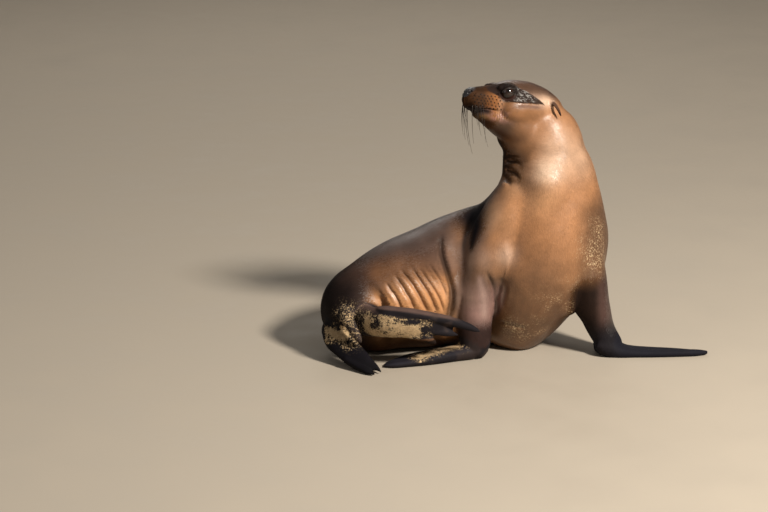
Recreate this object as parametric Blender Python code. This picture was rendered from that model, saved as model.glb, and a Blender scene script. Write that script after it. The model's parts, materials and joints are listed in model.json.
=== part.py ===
"""A young sea lion sitting up on a beach, life size, as one still model.

The body is modelled whole from lofted forms (neck and chest, trunk, head, limbs, tail), joined into one
skin, flattened where it rests on the ground, and then parted with thin cuts into its named parts.

Units are metres, +Z up.  The animal's chest faces -Y, its rear end lies towards -X, and its head is turned
to its own right, towards -X.
"""

import math

import bmesh
import bpy
import numpy as np
from mathutils import Matrix, Vector

# ------------------------------------------------------------------ driving sizes
ORIGIN = Vector((-0.0573, 0.0132, 0.0))  # the pose frame's point that becomes the row's origin
VOXEL = 0.0032          # grain of the joined skin
FLESH_TRIANGLES = 6300  # faces left in the whole skin after thinning
CUT = 0.0006            # width of a parting cut
FIT = 0.0003            # gap between pieces that touch

HEAD_AT = Vector((-0.0388, 0.0407, 0.5318))  # middle of the head, between the ears
HEAD_YAW = math.radians(26.7)    # how far the snout turns from -X towards -Y
HEAD_PITCH = math.radians(13.2)  # snout raised
HEAD_ROLL = math.radians(11.6)   # crown leans away from the open side

EYE_R = 0.0148
EYE_AT = (0.0635, 0.0352, 0.0120)  # forward, left, up from the middle of the head


# ------------------------------------------------------------------ helpers
def outward(bm):
    bmesh.ops.recalc_face_normals(bm, faces=bm.faces[:])
    if bm.calc_volume(signed=True) < 0:
        bmesh.ops.reverse_faces(bm, faces=bm.faces[:])
    return bm


def spline(table, steps):
    """Rows of a table read along a smooth curve through its rows, `steps` rows to each span."""
    t = np.array(table, float)
    d = np.linalg.norm(np.diff(t[:, :3], axis=0), axis=1)
    s = np.concatenate([[0], np.cumsum(np.maximum(d, 1e-6))])
    m = np.zeros_like(t)
    for i in range(len(t)):
        a, b = max(i - 1, 0), min(i + 1, len(t) - 1)
        m[i] = (t[b] - t[a]) / (s[b] - s[a])
        if 0 < i < len(t) - 1:  # weights the nearer neighbour more
            h0, h1 = s[i] - s[i - 1], s[i + 1] - s[i]
            m[i] = ((t[i] - t[i - 1]) / h0 * h1 + (t[i + 1] - t[i]) / h1 * h0) / (h0 + h1)
    rows = []
    for i in range(len(t) - 1):
        h = s[i + 1] - s[i]
        for k in range(steps):
            u = k / steps
            rows.append((2 * u**3 - 3 * u**2 + 1) * t[i] + (u**3 - 2 * u**2 + u) * h * m[i]
                        + (-2 * u**3 + 3 * u**2) * t[i + 1] + (u**3 - u**2) * h * m[i + 1])
    rows.append(t[-1])
    return np.array(rows)


def loft(table, ups, around=28, steps=4, matrix=None, power=2.0):
    """A closed tube mesh along a smooth curve.

    Each row of the table is x, y, z, then the section's half-widths: left side, right side, top, bottom.
    `ups` gives the section's top direction at each row.  Domed ends come from the last rows' sizes."""
    rows = spline([list(r) + list(u) for r, u in zip(table, ups)], steps)
    centres = rows[:, :3]
    tangents = np.gradient(centres, axis=0)
    bm = bmesh.new()
    rings = []
    for c, g, row in zip(centres, tangents, rows):
        g = Vector(g).normalized()
        up = Vector(row[7:10])
        up = (up - g * up.dot(g)).normalized()
        side = up.cross(g).normalized()  # left of one who looks along g
        ring = []
        for k in range(around):
            a = 2 * math.pi * k / around
            ca, sa = math.cos(a), math.sin(a)
            ex = 2.0 / power
            ca = math.copysign(abs(ca) ** ex, ca)
            sa = math.copysign(abs(sa) ** ex, sa)
            w = max(row[3] if ca > 0 else row[4], 0.0004)
            h = max(row[5] if sa > 0 else row[6], 0.0004)
            p = Vector(c) + side * (w * ca) + up * (h * sa)
            ring.append(bm.verts.new(matrix @ p if matrix else p))
        rings.append(ring)
    for a, b in zip(rings, rings[1:]):
        for k in range(around):
            bm.faces.new((a[k], a[(k + 1) % around], b[(k + 1) % around], b[k]))
    for ring in (rings[0], rings[-1]):
        bm.faces.new(ring)
    return outward(bm)


def ball(centre, radii, axes=None, matrix=None, around=24):
    """An ellipsoid with its radii along `axes` (three directions), or along X, Y and Z."""
    bm = bmesh.new()
    bmesh.ops.create_uvsphere(bm, u_segments=around, v_segments=around * 2 // 3, radius=1.0)
    turn = Matrix([Vector(a).normalized() for a in axes]).transposed() if axes else Matrix.Identity(3)
    for v in bm.verts:
        p = Vector((v.co.x * radii[0], v.co.y * radii[1], v.co.z * radii[2]))
        p = Vector(centre) + turn @ p
        v.co = matrix @ p if matrix else p
    return outward(bm)


def new_object(name, bm, material=None):
    mesh = bpy.data.meshes.new(name)
    bm.to_mesh(mesh)
    bm.free()
    obj = bpy.data.objects.new(name, mesh)
    bpy.context.scene.collection.objects.link(obj)
    if material:
        mesh.materials.append(material)
    return obj


def joined(name, parts):
    """One mesh that holds several closed forms, still overlapping."""
    whole = bmesh.new()
    for bm in parts:
        mesh = bpy.data.meshes.new("tmp")
        bm.to_mesh(mesh)
        bm.free()
        whole.from_mesh(mesh)
        bpy.data.meshes.remove(mesh)
    return new_object(name, whole)


def applied(obj):
    """The object with its modifiers worked into its mesh."""
    graph = bpy.context.evaluated_depsgraph_get()
    mesh = bpy.data.meshes.new_from_object(obj.evaluated_get(graph))
    old = obj.data
    obj.modifiers.clear()
    obj.data = mesh
    bpy.data.meshes.remove(old)
    return obj


def head_matrix():
    """Head coordinates are forward, left, up."""
    cy, sy, cp, sp = math.cos(HEAD_YAW), math.sin(HEAD_YAW), math.cos(HEAD_PITCH), math.sin(HEAD_PITCH)
    f = Vector((-cy * cp, -sy * cp, sp))
    u = Vector((cy * sp, sy * sp, cp))
    left = u.cross(f)
    cr, sr = math.cos(HEAD_ROLL), math.sin(HEAD_ROLL)
    u, left = cr * u - sr * left, cr * left + sr * u
    m = Matrix((f, left, u)).transposed().to_4x4()
    m.translation = HEAD_AT
    return m


# ------------------------------------------------------------------ the animal's forms
def body_forms():
    """Neck with chest, and trunk with haunch."""
    # x, y, z, left, right, top, bottom half-widths; sections run from the head down
    neck_chest = [
        (-0.004, 0.044, 0.530, 0.030, 0.028, 0.030, 0.030),
        (-0.002, 0.044, 0.508, 0.056, 0.050, 0.056, 0.056),
        (0.004, 0.045, 0.470, 0.077, 0.074, 0.077, 0.076),
        (0.0065, 0.045, 0.419, 0.090, 0.088, 0.088, 0.086),
        (0.014, 0.046, 0.369, 0.101, 0.102, 0.098, 0.098),
        (0.014, 0.048, 0.335, 0.109, 0.114, 0.108, 0.110),
        (0.010, 0.052, 0.270, 0.129, 0.133, 0.120, 0.128),
        (0.007, 0.055, 0.215, 0.133, 0.137, 0.124, 0.134),
        (-0.005, 0.056, 0.165, 0.130, 0.130, 0.122, 0.134),
        (-0.020, 0.056, 0.118, 0.122, 0.110, 0.114, 0.124),
        (-0.034, 0.055, 0.072, 0.100, 0.086, 0.100, 0.104),
        (-0.048, 0.055, 0.034, 0.088, 0.064, 0.082, 0.084),
        (-0.060, 0.055, 0.004, 0.076, 0.040, 0.058, 0.060),
        (-0.064, 0.055, -0.010, 0.040, 0.022, 0.030, 0.030),
    ]
    forms = [loft(neck_chest, [(0, 1, 0)] * len(neck_chest), around=40, steps=4)]
    throat = [
        (-0.060, 0.030, 0.512, 0.030, 0.030, 0.030, 0.030),
        (-0.050, 0.033, 0.490, 0.055, 0.055, 0.055, 0.055),
        (-0.030, 0.038, 0.460, 0.062, 0.063, 0.062, 0.062),
        (-0.010, 0.043, 0.420, 0.070, 0.070, 0.070, 0.070),
        (0.002, 0.045, 0.380, 0.070, 0.070, 0.070, 0.070),
    ]
    forms.append(loft(throat, [(0, 1, 0)] * len(throat), around=32, steps=4))
    saddle = [
        (0.010, 0.056, 0.385, 0.070, 0.070, 0.070, 0.070),
        (0.002, 0.062, 0.320, 0.096, 0.096, 0.096, 0.096),
        (-0.030, 0.072, 0.248, 0.108, 0.108, 0.108, 0.108),
        (-0.090, 0.078, 0.186, 0.112, 0.112, 0.112, 0.112),
        (-0.150, 0.072, 0.150, 0.118, 0.118, 0.118, 0.118),
        (-0.210, 0.062, 0.135, 0.110, 0.110, 0.110, 0.110),
    ]
    forms.append(loft(saddle, [(0.1, 1, 0.4)] * len(saddle), around=32, steps=4))
    trunk = [
        (0.020, 0.070, 0.180, 0.060, 0.060, 0.050, 0.060),
        (-0.020, 0.074, 0.172, 0.096, 0.110, 0.104, 0.110),
        (-0.070, 0.080, 0.165, 0.102, 0.120, 0.138, 0.138),
        (-0.120, 0.082, 0.151, 0.097, 0.122, 0.143, 0.146),
        (-0.165, 0.076, 0.141, 0.102, 0.123, 0.138, 0.141),
        (-0.215, 0.060, 0.129, 0.122, 0.126, 0.132, 0.134),
        (-0.298, 0.032, 0.115, 0.119, 0.118, 0.117, 0.120),
        (-0.355, 0.008, 0.099, 0.106, 0.104, 0.101, 0.103),
        (-0.390, -0.020, 0.091, 0.092, 0.088, 0.088, 0.091),
        (-0.403, -0.050, 0.087, 0.070, 0.062, 0.070, 0.068),
        (-0.409, -0.072, 0.085, 0.046, 0.038, 0.046, 0.046),
        (-0.411, -0.086, 0.083, 0.018, 0.018, 0.018, 0.018),
    ]
    lean = [(0.1, 0.0, 1)] * 4 + [(0.1, 0.12, 1)] + [(0.1, 0.24, 1)] * (len(trunk) - 5)
    forms.append(loft(trunk, lean, around=40, steps=4))
    return forms


def head_forms(m):
    """Skull, muzzle, cheeks, jaw and throat, in head coordinates: forward, left, up."""
    skull = [
        (-0.088, 0, -0.028, 0.014, 0.014, 0.014, 0.014),
        (-0.076, 0, -0.026, 0.033, 0.034, 0.034, 0.034),
        (-0.050, 0, -0.019, 0.052, 0.053, 0.047, 0.050),
        (-0.012, 0, -0.013, 0.0605, 0.0605, 0.0545, 0.057),
        (0.025, 0, -0.009, 0.0585, 0.0585, 0.0535, 0.054),
        (0.055, 0, -0.008, 0.049, 0.049, 0.047, 0.048),
        (0.078, 0, -0.008, 0.037, 0.037, 0.037, 0.042),
        (0.100, 0, -0.009, 0.029, 0.029, 0.0315, 0.036),
        (0.118, 0, -0.008, 0.026, 0.026, 0.0275, 0.030),
        (0.133, 0, -0.005, 0.0215, 0.0215, 0.0225, 0.022),
        (0.143, 0, -0.001, 0.013, 0.013, 0.0145, 0.015),
        (0.1465, 0, -0.000, 0.004, 0.004, 0.005, 0.005),
    ]
    forms = [loft(skull, [(0, 0, 1)] * len(skull), around=32, steps=4, matrix=m)]
    jaw = [
        (0.122, 0, -0.036, 0.004, 0.004, 0.003, 0.003),
        (0.117, 0, -0.037, 0.013, 0.013, 0.009, 0.008),
        (0.101, 0, -0.038, 0.022, 0.022, 0.016, 0.0145),
        (0.075, 0, -0.042, 0.034, 0.034, 0.026, 0.024),
        (0.040, 0, -0.050, 0.047, 0.047, 0.038, 0.034),
        (0.000, 0, -0.056, 0.052, 0.052, 0.050, 0.046),
        (-0.030, 0, -0.060, 0.030, 0.030, 0.030, 0.030),
    ]
    forms.append(loft(jaw, [(0, 0, 1)] * len(jaw), around=24, steps=4, matrix=m))
    for side in (1, -1):
        # whisker pad, brow, cheek
        forms.append(ball((0.1150, side * 0.0150, -0.0170), (0.025, 0.0170, 0.0170), matrix=m))
        forms.append(ball((0.058, side * 0.030, 0.019), (0.028, 0.0165, 0.0150), matrix=m))
        forms.append(ball((0.028, side * 0.034, -0.020), (0.046, 0.026, 0.034), matrix=m))
        ear = [
            (-0.030, side * 0.050, 0.006, 0.004, 0.004, 0.003, 0.003),
            (-0.033, side * 0.0580, 0.003, 0.0065, 0.0065, 0.0050, 0.0050),
            (-0.037, side * 0.0665, -0.005, 0.0068, 0.0068, 0.0050, 0.0050),
            (-0.041, side * 0.0735, -0.015, 0.0055, 0.0055, 0.0048, 0.0048),
            (-0.044, side * 0.0790, -0.025, 0.0030, 0.0030, 0.0030, 0.0030),
        ]
        forms.append(loft(ear, [(0, side, 0.5)] * len(ear), around=12, steps=3, matrix=m))
    return forms


def fore_limb(side):
    """Upper arm, forearm and flipper of one side, -1 right and +1 left."""
    if side < 0:
        arm = [
            (-0.010, 0.036, 0.385, 0.030, 0.030, 0.030, 0.030),
            (-0.030, 0.028, 0.350, 0.056, 0.056, 0.052, 0.052),
            (-0.060, 0.014, 0.300, 0.066, 0.066, 0.060, 0.062),
            (-0.090, 0.003, 0.250, 0.067, 0.067, 0.060, 0.062),
            (-0.113, -0.005, 0.205, 0.063, 0.063, 0.056, 0.056),
            (-0.130, -0.015, 0.160, 0.056, 0.054, 0.049, 0.049),
            (-0.138, -0.026, 0.120, 0.046, 0.040, 0.0445, 0.0430),
            (-0.140, -0.041, 0.078, 0.034, 0.024, 0.041, 0.038),
            (-0.139, -0.046, 0.045, 0.030, 0.024, 0.037, 0.034),
            (-0.138, -0.045, 0.018, 0.027, 0.023, 0.032, 0.028),
            (-0.137, -0.043, 0.004, 0.016, 0.015, 0.018, 0.016),
        ]
        hand = [
            (-0.112, -0.040, 0.020, 0.010, 0.010, 0.006, 0.010),
            (-0.124, -0.042, 0.020, 0.026, 0.024, 0.017, 0.020),
            (-0.150, -0.048, 0.017, 0.029, 0.026, 0.015, 0.018),
            (-0.185, -0.058, 0.013, 0.031, 0.030, 0.012, 0.015),
            (-0.225, -0.070, 0.010, 0.033, 0.036, 0.010, 0.011),
            (-0.265, -0.083, 0.008, 0.030, 0.034, 0.008, 0.009),
            (-0.298, -0.100, 0.006, 0.021, 0.025, 0.0065, 0.007),
            (-0.320, -0.110, 0.005, 0.013, 0.015, 0.005, 0.006),
            (-0.332, -0.117, 0.0045, 0.005, 0.005, 0.003, 0.004),
        ]
        lead = [
            (-0.125, -0.050, 0.020, 0.008, 0.008, 0.008, 0.008),
            (-0.140, -0.055, 0.017, 0.016, 0.016, 0.016, 0.016),
            (-0.180, -0.074, 0.013, 0.014, 0.014, 0.0135, 0.0135),
            (-0.230, -0.096, 0.010, 0.012, 0.012, 0.0105, 0.011),
            (-0.280, -0.112, 0.007, 0.010, 0.010, 0.008, 0.008),
            (-0.320, -0.120, 0.005, 0.008, 0.008, 0.006, 0.006),
            (-0.334, -0.121, 0.004, 0.003, 0.003, 0.003, 0.003),
        ]
    else:
        arm = [
            (0.040, 0.034, 0.350, 0.030, 0.030, 0.030, 0.030),
            (0.052, 0.028, 0.315, 0.052, 0.052, 0.048, 0.048),
            (0.068, 0.020, 0.262, 0.060, 0.060, 0.052, 0.050),
            (0.084, 0.010, 0.210, 0.058, 0.058, 0.047, 0.045),
            (0.100, -0.002, 0.150, 0.051, 0.051, 0.041, 0.040),
            (0.109, -0.008, 0.108, 0.047, 0.047, 0.037, 0.036),
            (0.120, -0.012, 0.070, 0.042, 0.042, 0.033, 0.032),
            (0.132, -0.016, 0.040, 0.038, 0.038, 0.028, 0.027),
            (0.142, -0.019, 0.020, 0.032, 0.032, 0.022, 0.022),
            (0.145, -0.020, 0.004, 0.018, 0.018, 0.013, 0.014),
        ]
        hand = [
            (0.112, -0.014, 0.014, 0.010, 0.010, 0.006, 0.010),
            (0.124, -0.014, 0.014, 0.032, 0.032, 0.014, 0.016),
            (0.152, -0.016, 0.008, 0.036, 0.036, 0.009, 0.011),
            (0.195, -0.019, 0.0055, 0.033, 0.034, 0.0055, 0.009),
            (0.235, -0.022, 0.005, 0.029, 0.030, 0.0050, 0.008),
            (0.275, -0.025, 0.005, 0.025, 0.026, 0.0050, 0.007),
            (0.310, -0.028, 0.005, 0.018, 0.019, 0.0050, 0.007),
            (0.336, -0.032, 0.005, 0.011, 0.012, 0.0050, 0.006),
            (0.350, -0.034, 0.006, 0.004, 0.004, 0.004, 0.005),
        ]
        lead = [
            (0.118, -0.040, 0.028, 0.012, 0.012, 0.012, 0.012),
            (0.134, -0.044, 0.019, 0.015, 0.015, 0.017, 0.018),
            (0.160, -0.046, 0.010, 0.013, 0.013, 0.0130, 0.013),
            (0.200, -0.046, 0.0075, 0.012, 0.012, 0.0095, 0.010),
            (0.245, -0.045, 0.0070, 0.011, 0.011, 0.0090, 0.010),
            (0.290, -0.043, 0.0070, 0.010, 0.010, 0.0085, 0.009),
            (0.335, -0.037, 0.0065, 0.009, 0.009, 0.0075, 0.008),
            (0.354, -0.034, 0.0065, 0.004, 0.004, 0.004, 0.005),
        ]
    forms = [
        loft(arm, [(side, 0, 0)] * len(arm), around=28, steps=4),
        loft(hand, [(0, 0, 1)] * len(hand), around=28, steps=4),
        loft(lead, [(0, 0, 1)] * len(lead), around=16, steps=4),
    ]
    return forms


def hind_forms():
    """Both hind flippers, with their ankles, and the tail."""
    forms = []
    # right: lies along the flank, its sole outwards, its long first toe uppermost
    foot = [
        (-0.400, -0.036, 0.086, 0.016, 0.016, 0.020, 0.020),
        (-0.380, -0.068, 0.089, 0.024, 0.024, 0.032, 0.032),
        (-0.355, -0.102, 0.094, 0.021, 0.021, 0.035, 0.033),
        (-0.328, -0.124, 0.097, 0.019, 0.019, 0.036, 0.031),
        (-0.290, -0.131, 0.096, 0.016, 0.016, 0.034, 0.029),
        (-0.255, -0.129, 0.092, 0.013, 0.013, 0.030, 0.026),
        (-0.225, -0.123, 0.088, 0.010, 0.010, 0.024, 0.019),
        (-0.200, -0.116, 0.084, 0.006, 0.006, 0.015, 0.011),
        (-0.188, -0.112, 0.082, 0.003, 0.003, 0.006, 0.006),
    ]
    forms.append(loft(foot, [(0, -0.22, 1)] * len(foot), around=28, steps=4))
    first_toe = [
        (-0.350, -0.114, 0.124, 0.006, 0.006, 0.006, 0.006),
        (-0.338, -0.122, 0.128, 0.012, 0.012, 0.010, 0.010),
        (-0.300, -0.134, 0.127, 0.013, 0.013, 0.011, 0.012),
        (-0.250, -0.133, 0.118, 0.013, 0.013, 0.0115, 0.012),
        (-0.205, -0.124, 0.106, 0.012, 0.012, 0.0115, 0.012),
        (-0.168, -0.114, 0.092, 0.010, 0.010, 0.010, 0.010),
        (-0.143, -0.107, 0.080, 0.007, 0.007, 0.007, 0.007),
        (-0.130, -0.103, 0.073, 0.002, 0.002, 0.002, 0.002),
    ]
    forms.append(loft(first_toe, [(0, -0.22, 1)] * len(first_toe), around=16, steps=4))
    for toe in (
        [(-0.270, -0.130, 0.086, 0.008, 0.008, 0.009, 0.009), (-0.225, -0.125, 0.081, 0.008, 0.008, 0.009, 0.009),
         (-0.190, -0.118, 0.074, 0.0065, 0.0065, 0.007, 0.007), (-0.176, -0.115, 0.070, 0.002, 0.002, 0.002, 0.002)],
        [(-0.280, -0.130, 0.075, 0.008, 0.008, 0.009, 0.009), (-0.246, -0.128, 0.067, 0.007, 0.007, 0.008, 0.008),
         (-0.228, -0.126, 0.059, 0.0055, 0.0055, 0.006, 0.006), (-0.222, -0.125, 0.055, 0.002, 0.002, 0.002, 0.002)],
    ):
        forms.append(loft(toe, [(0, -0.22, 1)] * len(toe), around=14, steps=4))
    # left: reaches out from under the haunch on its outer edge, toes on the ground
    foot = [
        (-0.432, -0.012, 0.068, 0.018, 0.018, 0.018, 0.018),
        (-0.437, -0.034, 0.064, 0.029, 0.029, 0.022, 0.024),
        (-0.435, -0.060, 0.058, 0.030, 0.030, 0.018, 0.020),
        (-0.430, -0.080, 0.050, 0.029, 0.029, 0.016, 0.018),
        (-0.414, -0.100, 0.041, 0.027, 0.028, 0.013, 0.014),
        (-0.394, -0.122, 0.030, 0.024, 0.028, 0.010, 0.011),
        (-0.374, -0.140, 0.020, 0.019, 0.025, 0.008, 0.008),
        (-0.358, -0.152, 0.012, 0.010, 0.016, 0.006, 0.006),
        (-0.350, -0.158, 0.009, 0.004, 0.005, 0.004, 0.004),
    ]
    forms.append(loft(foot, [(-0.45, -0.55, 0.70)] * len(foot), around=28, steps=4))
    for toe in (
        [(-0.392, -0.112, 0.040, 0.008, 0.008, 0.007, 0.007), (-0.368, -0.134, 0.026, 0.0075, 0.0075, 0.007, 0.007),
         (-0.346, -0.156, 0.010, 0.006, 0.006, 0.006, 0.006), (-0.337, -0.165, 0.005, 0.002, 0.002, 0.002, 0.002)],
        [(-0.412, -0.124, 0.022, 0.009, 0.009, 0.008, 0.008), (-0.386, -0.148, 0.012, 0.008, 0.008, 0.007, 0.007),
         (-0.360, -0.171, 0.006, 0.006, 0.006, 0.005, 0.006), (-0.350, -0.178, 0.005, 0.002, 0.002, 0.002, 0.003)],
    ):
        forms.append(loft(toe, [(-0.2, -0.3, 1)] * len(toe), around=14, steps=4))
    tail = [
        (-0.412, -0.062, 0.106, 0.018, 0.018, 0.015, 0.015),
        (-0.412, -0.086, 0.106, 0.016, 0.016, 0.014, 0.014),
        (-0.406, -0.108, 0.098, 0.014, 0.014, 0.012, 0.012),
        (-0.394, -0.122, 0.081, 0.011, 0.011, 0.010, 0.010),
        (-0.384, -0.128, 0.064, 0.008, 0.008, 0.007, 0.007),
        (-0.380, -0.129, 0.056, 0.003, 0.003, 0.003, 0.003),
    ]
    forms.append(loft(tail, [(-0.3, -1, 0.3)] * len(tail), around=16, steps=4))
    return forms


def all_forms():
    m = head_matrix()
    return body_forms() + head_forms(m) + fore_limb(-1) + fore_limb(1) + hind_forms()


def make_skin():
    skin = joined("skin", all_forms())
    remesh = skin.modifiers.new("join", "REMESH")
    remesh.mode = "VOXEL"
    remesh.voxel_size = VOXEL
    applied(skin)
    # broad smoothing over neck, chest, trunk and haunch, none on the head, feet and tail
    m = head_matrix().inverted()
    broad, face = skin.vertex_groups.new(name="broad"), skin.vertex_groups.new(name="all")
    for v in skin.data.vertices:
        x, y, z = v.co
        f = (m @ v.co).x
        w = min(1.0, max(0.0, (-0.030 - f) / 0.04 if z > 0.40 else 1.0))
        w *= min(1.0, max(0.0, (z - 0.020) / 0.04))
        if y < -0.055 and z < 0.135:
            w = 0.0
        elif x < -0.36 and y < -0.01 and z < 0.13:
            w *= 0.15
        broad.add([v.index], w, "REPLACE")
        face.add([v.index], 1.0, "REPLACE")
    wide = skin.modifiers.new("broad", "SMOOTH")
    wide.factor, wide.iterations, wide.vertex_group = 0.5, 60, "broad"
    fine = skin.modifiers.new("fine", "SMOOTH")
    fine.factor, fine.iterations, fine.vertex_group = 0.5, 6, "all"
    applied(skin)
    return skin


def thin_whole(skin):
    """Thins the skin's faces and levels its resting places."""
    for v in skin.data.vertices:
        v.co.z = max(v.co.z, 0.0)
    thin = skin.modifiers.new("thin", "DECIMATE")
    thin.decimate_type = "COLLAPSE"
    thin.ratio = FLESH_TRIANGLES / sum(len(p.vertices) - 2 for p in skin.data.polygons)
    thin.use_collapse_triangulate = True
    applied(skin)
    for v in skin.data.vertices:
        if v.co.z < 0.0012:
            v.co.z = 0.0
    return skin


def disk(centre, normal, radius, width=CUT, squash=1.0, across=None):
    """A thin round plate for a parting cut; `squash` shortens it along `across`."""
    bm = bmesh.new()
    bmesh.ops.create_cone(bm, cap_ends=True, cap_tris=False, segments=24, radius1=1.0, radius2=1.0, depth=width)
    n = Vector(normal).normalized()
    a = Vector(across) if across else n.orthogonal()
    a = (a - n * a.dot(n)).normalized()
    b = n.cross(a)
    turn = Matrix((a, b, n)).transposed()
    for v in bm.verts:
        v.co = Vector(centre) + turn @ Vector((v.co.x * radius * squash, v.co.y * radius, v.co.z))
    return outward(bm)


def plate(centre, normal, across, half_a, half_b, width=CUT):
    """A thin oblong plate for a parting cut."""
    n = Vector(normal).normalized()
    a = Vector(across)
    a = (a - n * a.dot(n)).normalized()
    b = n.cross(a)
    bm = bmesh.new()
    bmesh.ops.create_cube(bm, size=2.0)
    for v in bm.verts:
        v.co = Vector(centre) + a * (v.co.x * half_a) + b * (v.co.y * half_b) + n * (v.co.z * width / 2)
    return outward(bm)


def difference(skin, tool_forms, name):
    tool = joined(name, tool_forms)
    tool.hide_render = True
    cut = skin.modifiers.new(name, "BOOLEAN")
    cut.operation, cut.solver, cut.object = "DIFFERENCE", "EXACT", tool
    cut.use_self = False
    applied(skin)
    bpy.data.objects.remove(tool)
    return skin


def parting_cuts(m):
    """Thin plates that part the whole animal into head, neck, chest, trunk, hips, tail, flippers, ears and nose."""
    turn = m.to_3x3()
    cuts = [
        disk((-0.034, 0.040, 0.492), (-0.66, -0.06, 0.75), 0.112),                    # head from neck
        disk((0.010, 0.046, 0.352), (0.10, 0.0, 1.0), 0.165),                         # neck from chest
        disk((-0.176, 0.066, 0.149), (-0.97, 0.22, 0.0), 0.1535, squash=1.07, across=(0.22, 0.97, 0)),                     # chest from trunk
        disk((-0.318, 0.036, 0.112), (-0.90, -0.42, 0.0), 0.150, squash=0.88, across=(0, 0, 1)),  # trunk from hips
        plate((-0.393, -0.0945, 0.0775), (-0.075, -1.0, 0.0), (1, -0.075, 0), 0.067, 0.0725),  # hips from feet and tail
        disk((0.120, -0.010, 0.093), (0.557, 0.0, -0.83), 0.058, squash=0.80, across=(0.83, 0, 0.557)),  # left fore flipper
        disk((-0.1415, -0.0495, 0.040), (-0.12, -0.15, -0.98), 0.0300, squash=1.42, across=(1, 0, -0.12)),  # right fore flipper
        disk(m @ Vector((0.1335, 0, 0.0065)), turn @ Vector((0.69, 0, 0.73)), 0.0265),  # nose
    ]
    for side in (1, -1):
        cuts.append(disk(m @ Vector((-0.0375, side * 0.0675, -0.0065)), turn @ Vector((-0.31, side * 0.60, -0.736)), 0.0100,
                         squash=0.80, across=turn @ Vector((0.2, side * 0.80, 0.57))))
    return cuts


# where each part's middle lies, in the pose frame; each loose solid takes the name of the nearest
PLACES = {
    "head": None, "nose": None, "neck": (0.005, 0.045, 0.43), "chest": (-0.02, 0.05, 0.2), "trunk": (-0.25, 0.06, 0.13),
    "hips": (-0.37, 0.0, 0.09), "tail": (-0.38, -0.122, 0.075), "fore_flipper_left": (0.21, -0.02, 0.03),
    "fore_flipper_right": (-0.20, -0.06, 0.02), "hind_flipper_left": (-0.40, -0.11, 0.04),
    "hind_flipper_right": (-0.27, -0.12, 0.09), "ear_left": None, "ear_right": None,
}

COLOURS = {
    "coat": ((0.300, 0.160, 0.082, 1.0), 0.45), "flipper_skin": ((0.060, 0.045, 0.046, 1.0), 0.40),
    "dark_skin": ((0.020, 0.015, 0.014, 1.0), 0.25), "eye": ((0.012, 0.008, 0.006, 1.0), 0.05),
}


def material(name):
    mat = bpy.data.materials.get(name) or bpy.data.materials.new(name)
    mat.use_nodes = True
    shader = mat.node_tree.nodes["Principled BSDF"]
    colour, rough = COLOURS[name]
    shader.inputs["Base Color"].default_value = colour
    shader.inputs["Roughness"].default_value = rough
    mat.diffuse_color = colour
    return mat


def loose_solids(skin):
    """Each loose solid of the cut skin as a mesh of its own."""
    bm = bmesh.new()
    bm.from_mesh(skin.data)
    bmesh.ops.remove_doubles(bm, verts=bm.verts[:], dist=2e-6)
    bmesh.ops.dissolve_degenerate(bm, edges=bm.edges[:], dist=2e-6)
    bmesh.ops.triangulate(bm, faces=bm.faces[:])
    bm.verts.ensure_lookup_table()
    seen, groups = set(), []
    for v in bm.verts:
        if v in seen:
            continue
        stack, group = [v], []
        seen.add(v)
        while stack:
            w = stack.pop()
            group.append(w)
            for e in w.link_edges:
                o = e.other_vert(w)
                if o not in seen:
                    seen.add(o)
                    stack.append(o)
        groups.append(group)
    solids = []
    for group in groups:
        index = {v: i for i, v in enumerate(group)}
        faces = {f for v in group for f in v.link_faces}
        one = bmesh.new()
        verts = [one.verts.new(v.co) for v in group]
        for f in sorted(faces, key=lambda f: f.index):
            one.faces.new([verts[index[v]] for v in f.verts])
        solids.append(outward(one))
    bm.free()
    return solids


def main():
    for old in list(bpy.data.objects):
        bpy.data.objects.remove(old)
    m = head_matrix()
    skin = thin_whole(make_skin())
    eyes = [m @ Vector((EYE_AT[0], side * EYE_AT[1], EYE_AT[2])) for side in (1, -1)]
    difference(skin, [ball(c, (EYE_R + FIT + 0.00012,) * 3, around=18) for c in eyes], "sockets")
    for cutter in parting_cuts(m):
        difference(skin, [cutter], "cut")

    places = dict(PLACES)
    places["head"] = tuple(m @ Vector((0.03, 0, -0.01)))
    places["nose"] = tuple(m @ Vector((0.141, 0, 0)))
    places["ear_left"] = tuple(m @ Vector((-0.042, 0.066, -0.016)))
    places["ear_right"] = tuple(m @ Vector((-0.042, -0.066, -0.016)))
    for solid in loose_solids(skin):
        volume = abs(solid.calc_volume())
        middle = sum((f.calc_center_median() * f.calc_area() for f in solid.faces), Vector()) / sum(f.calc_area() for f in solid.faces)
        if volume < 1e-7:
            solid.free()
            continue
        name = min(places, key=lambda n: (Vector(places[n]) - middle).length)
        kind = "dark_skin" if name == "nose" else "flipper_skin" if ("flipper" in name or name == "tail") else "coat"
        new_object(name, solid, material(kind))
    bpy.data.objects.remove(skin)
    for name, c in zip(("eye_left", "eye_right"), eyes):
        new_object(name, ball(c, (EYE_R,) * 3, around=18), material("eye"))

    for obj in bpy.data.objects:
        for v in obj.data.vertices:
            v.co -= ORIGIN


main()
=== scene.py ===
import json
import math

import bmesh
import bpy
import numpy as np
from mathutils import Matrix, Vector

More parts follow.
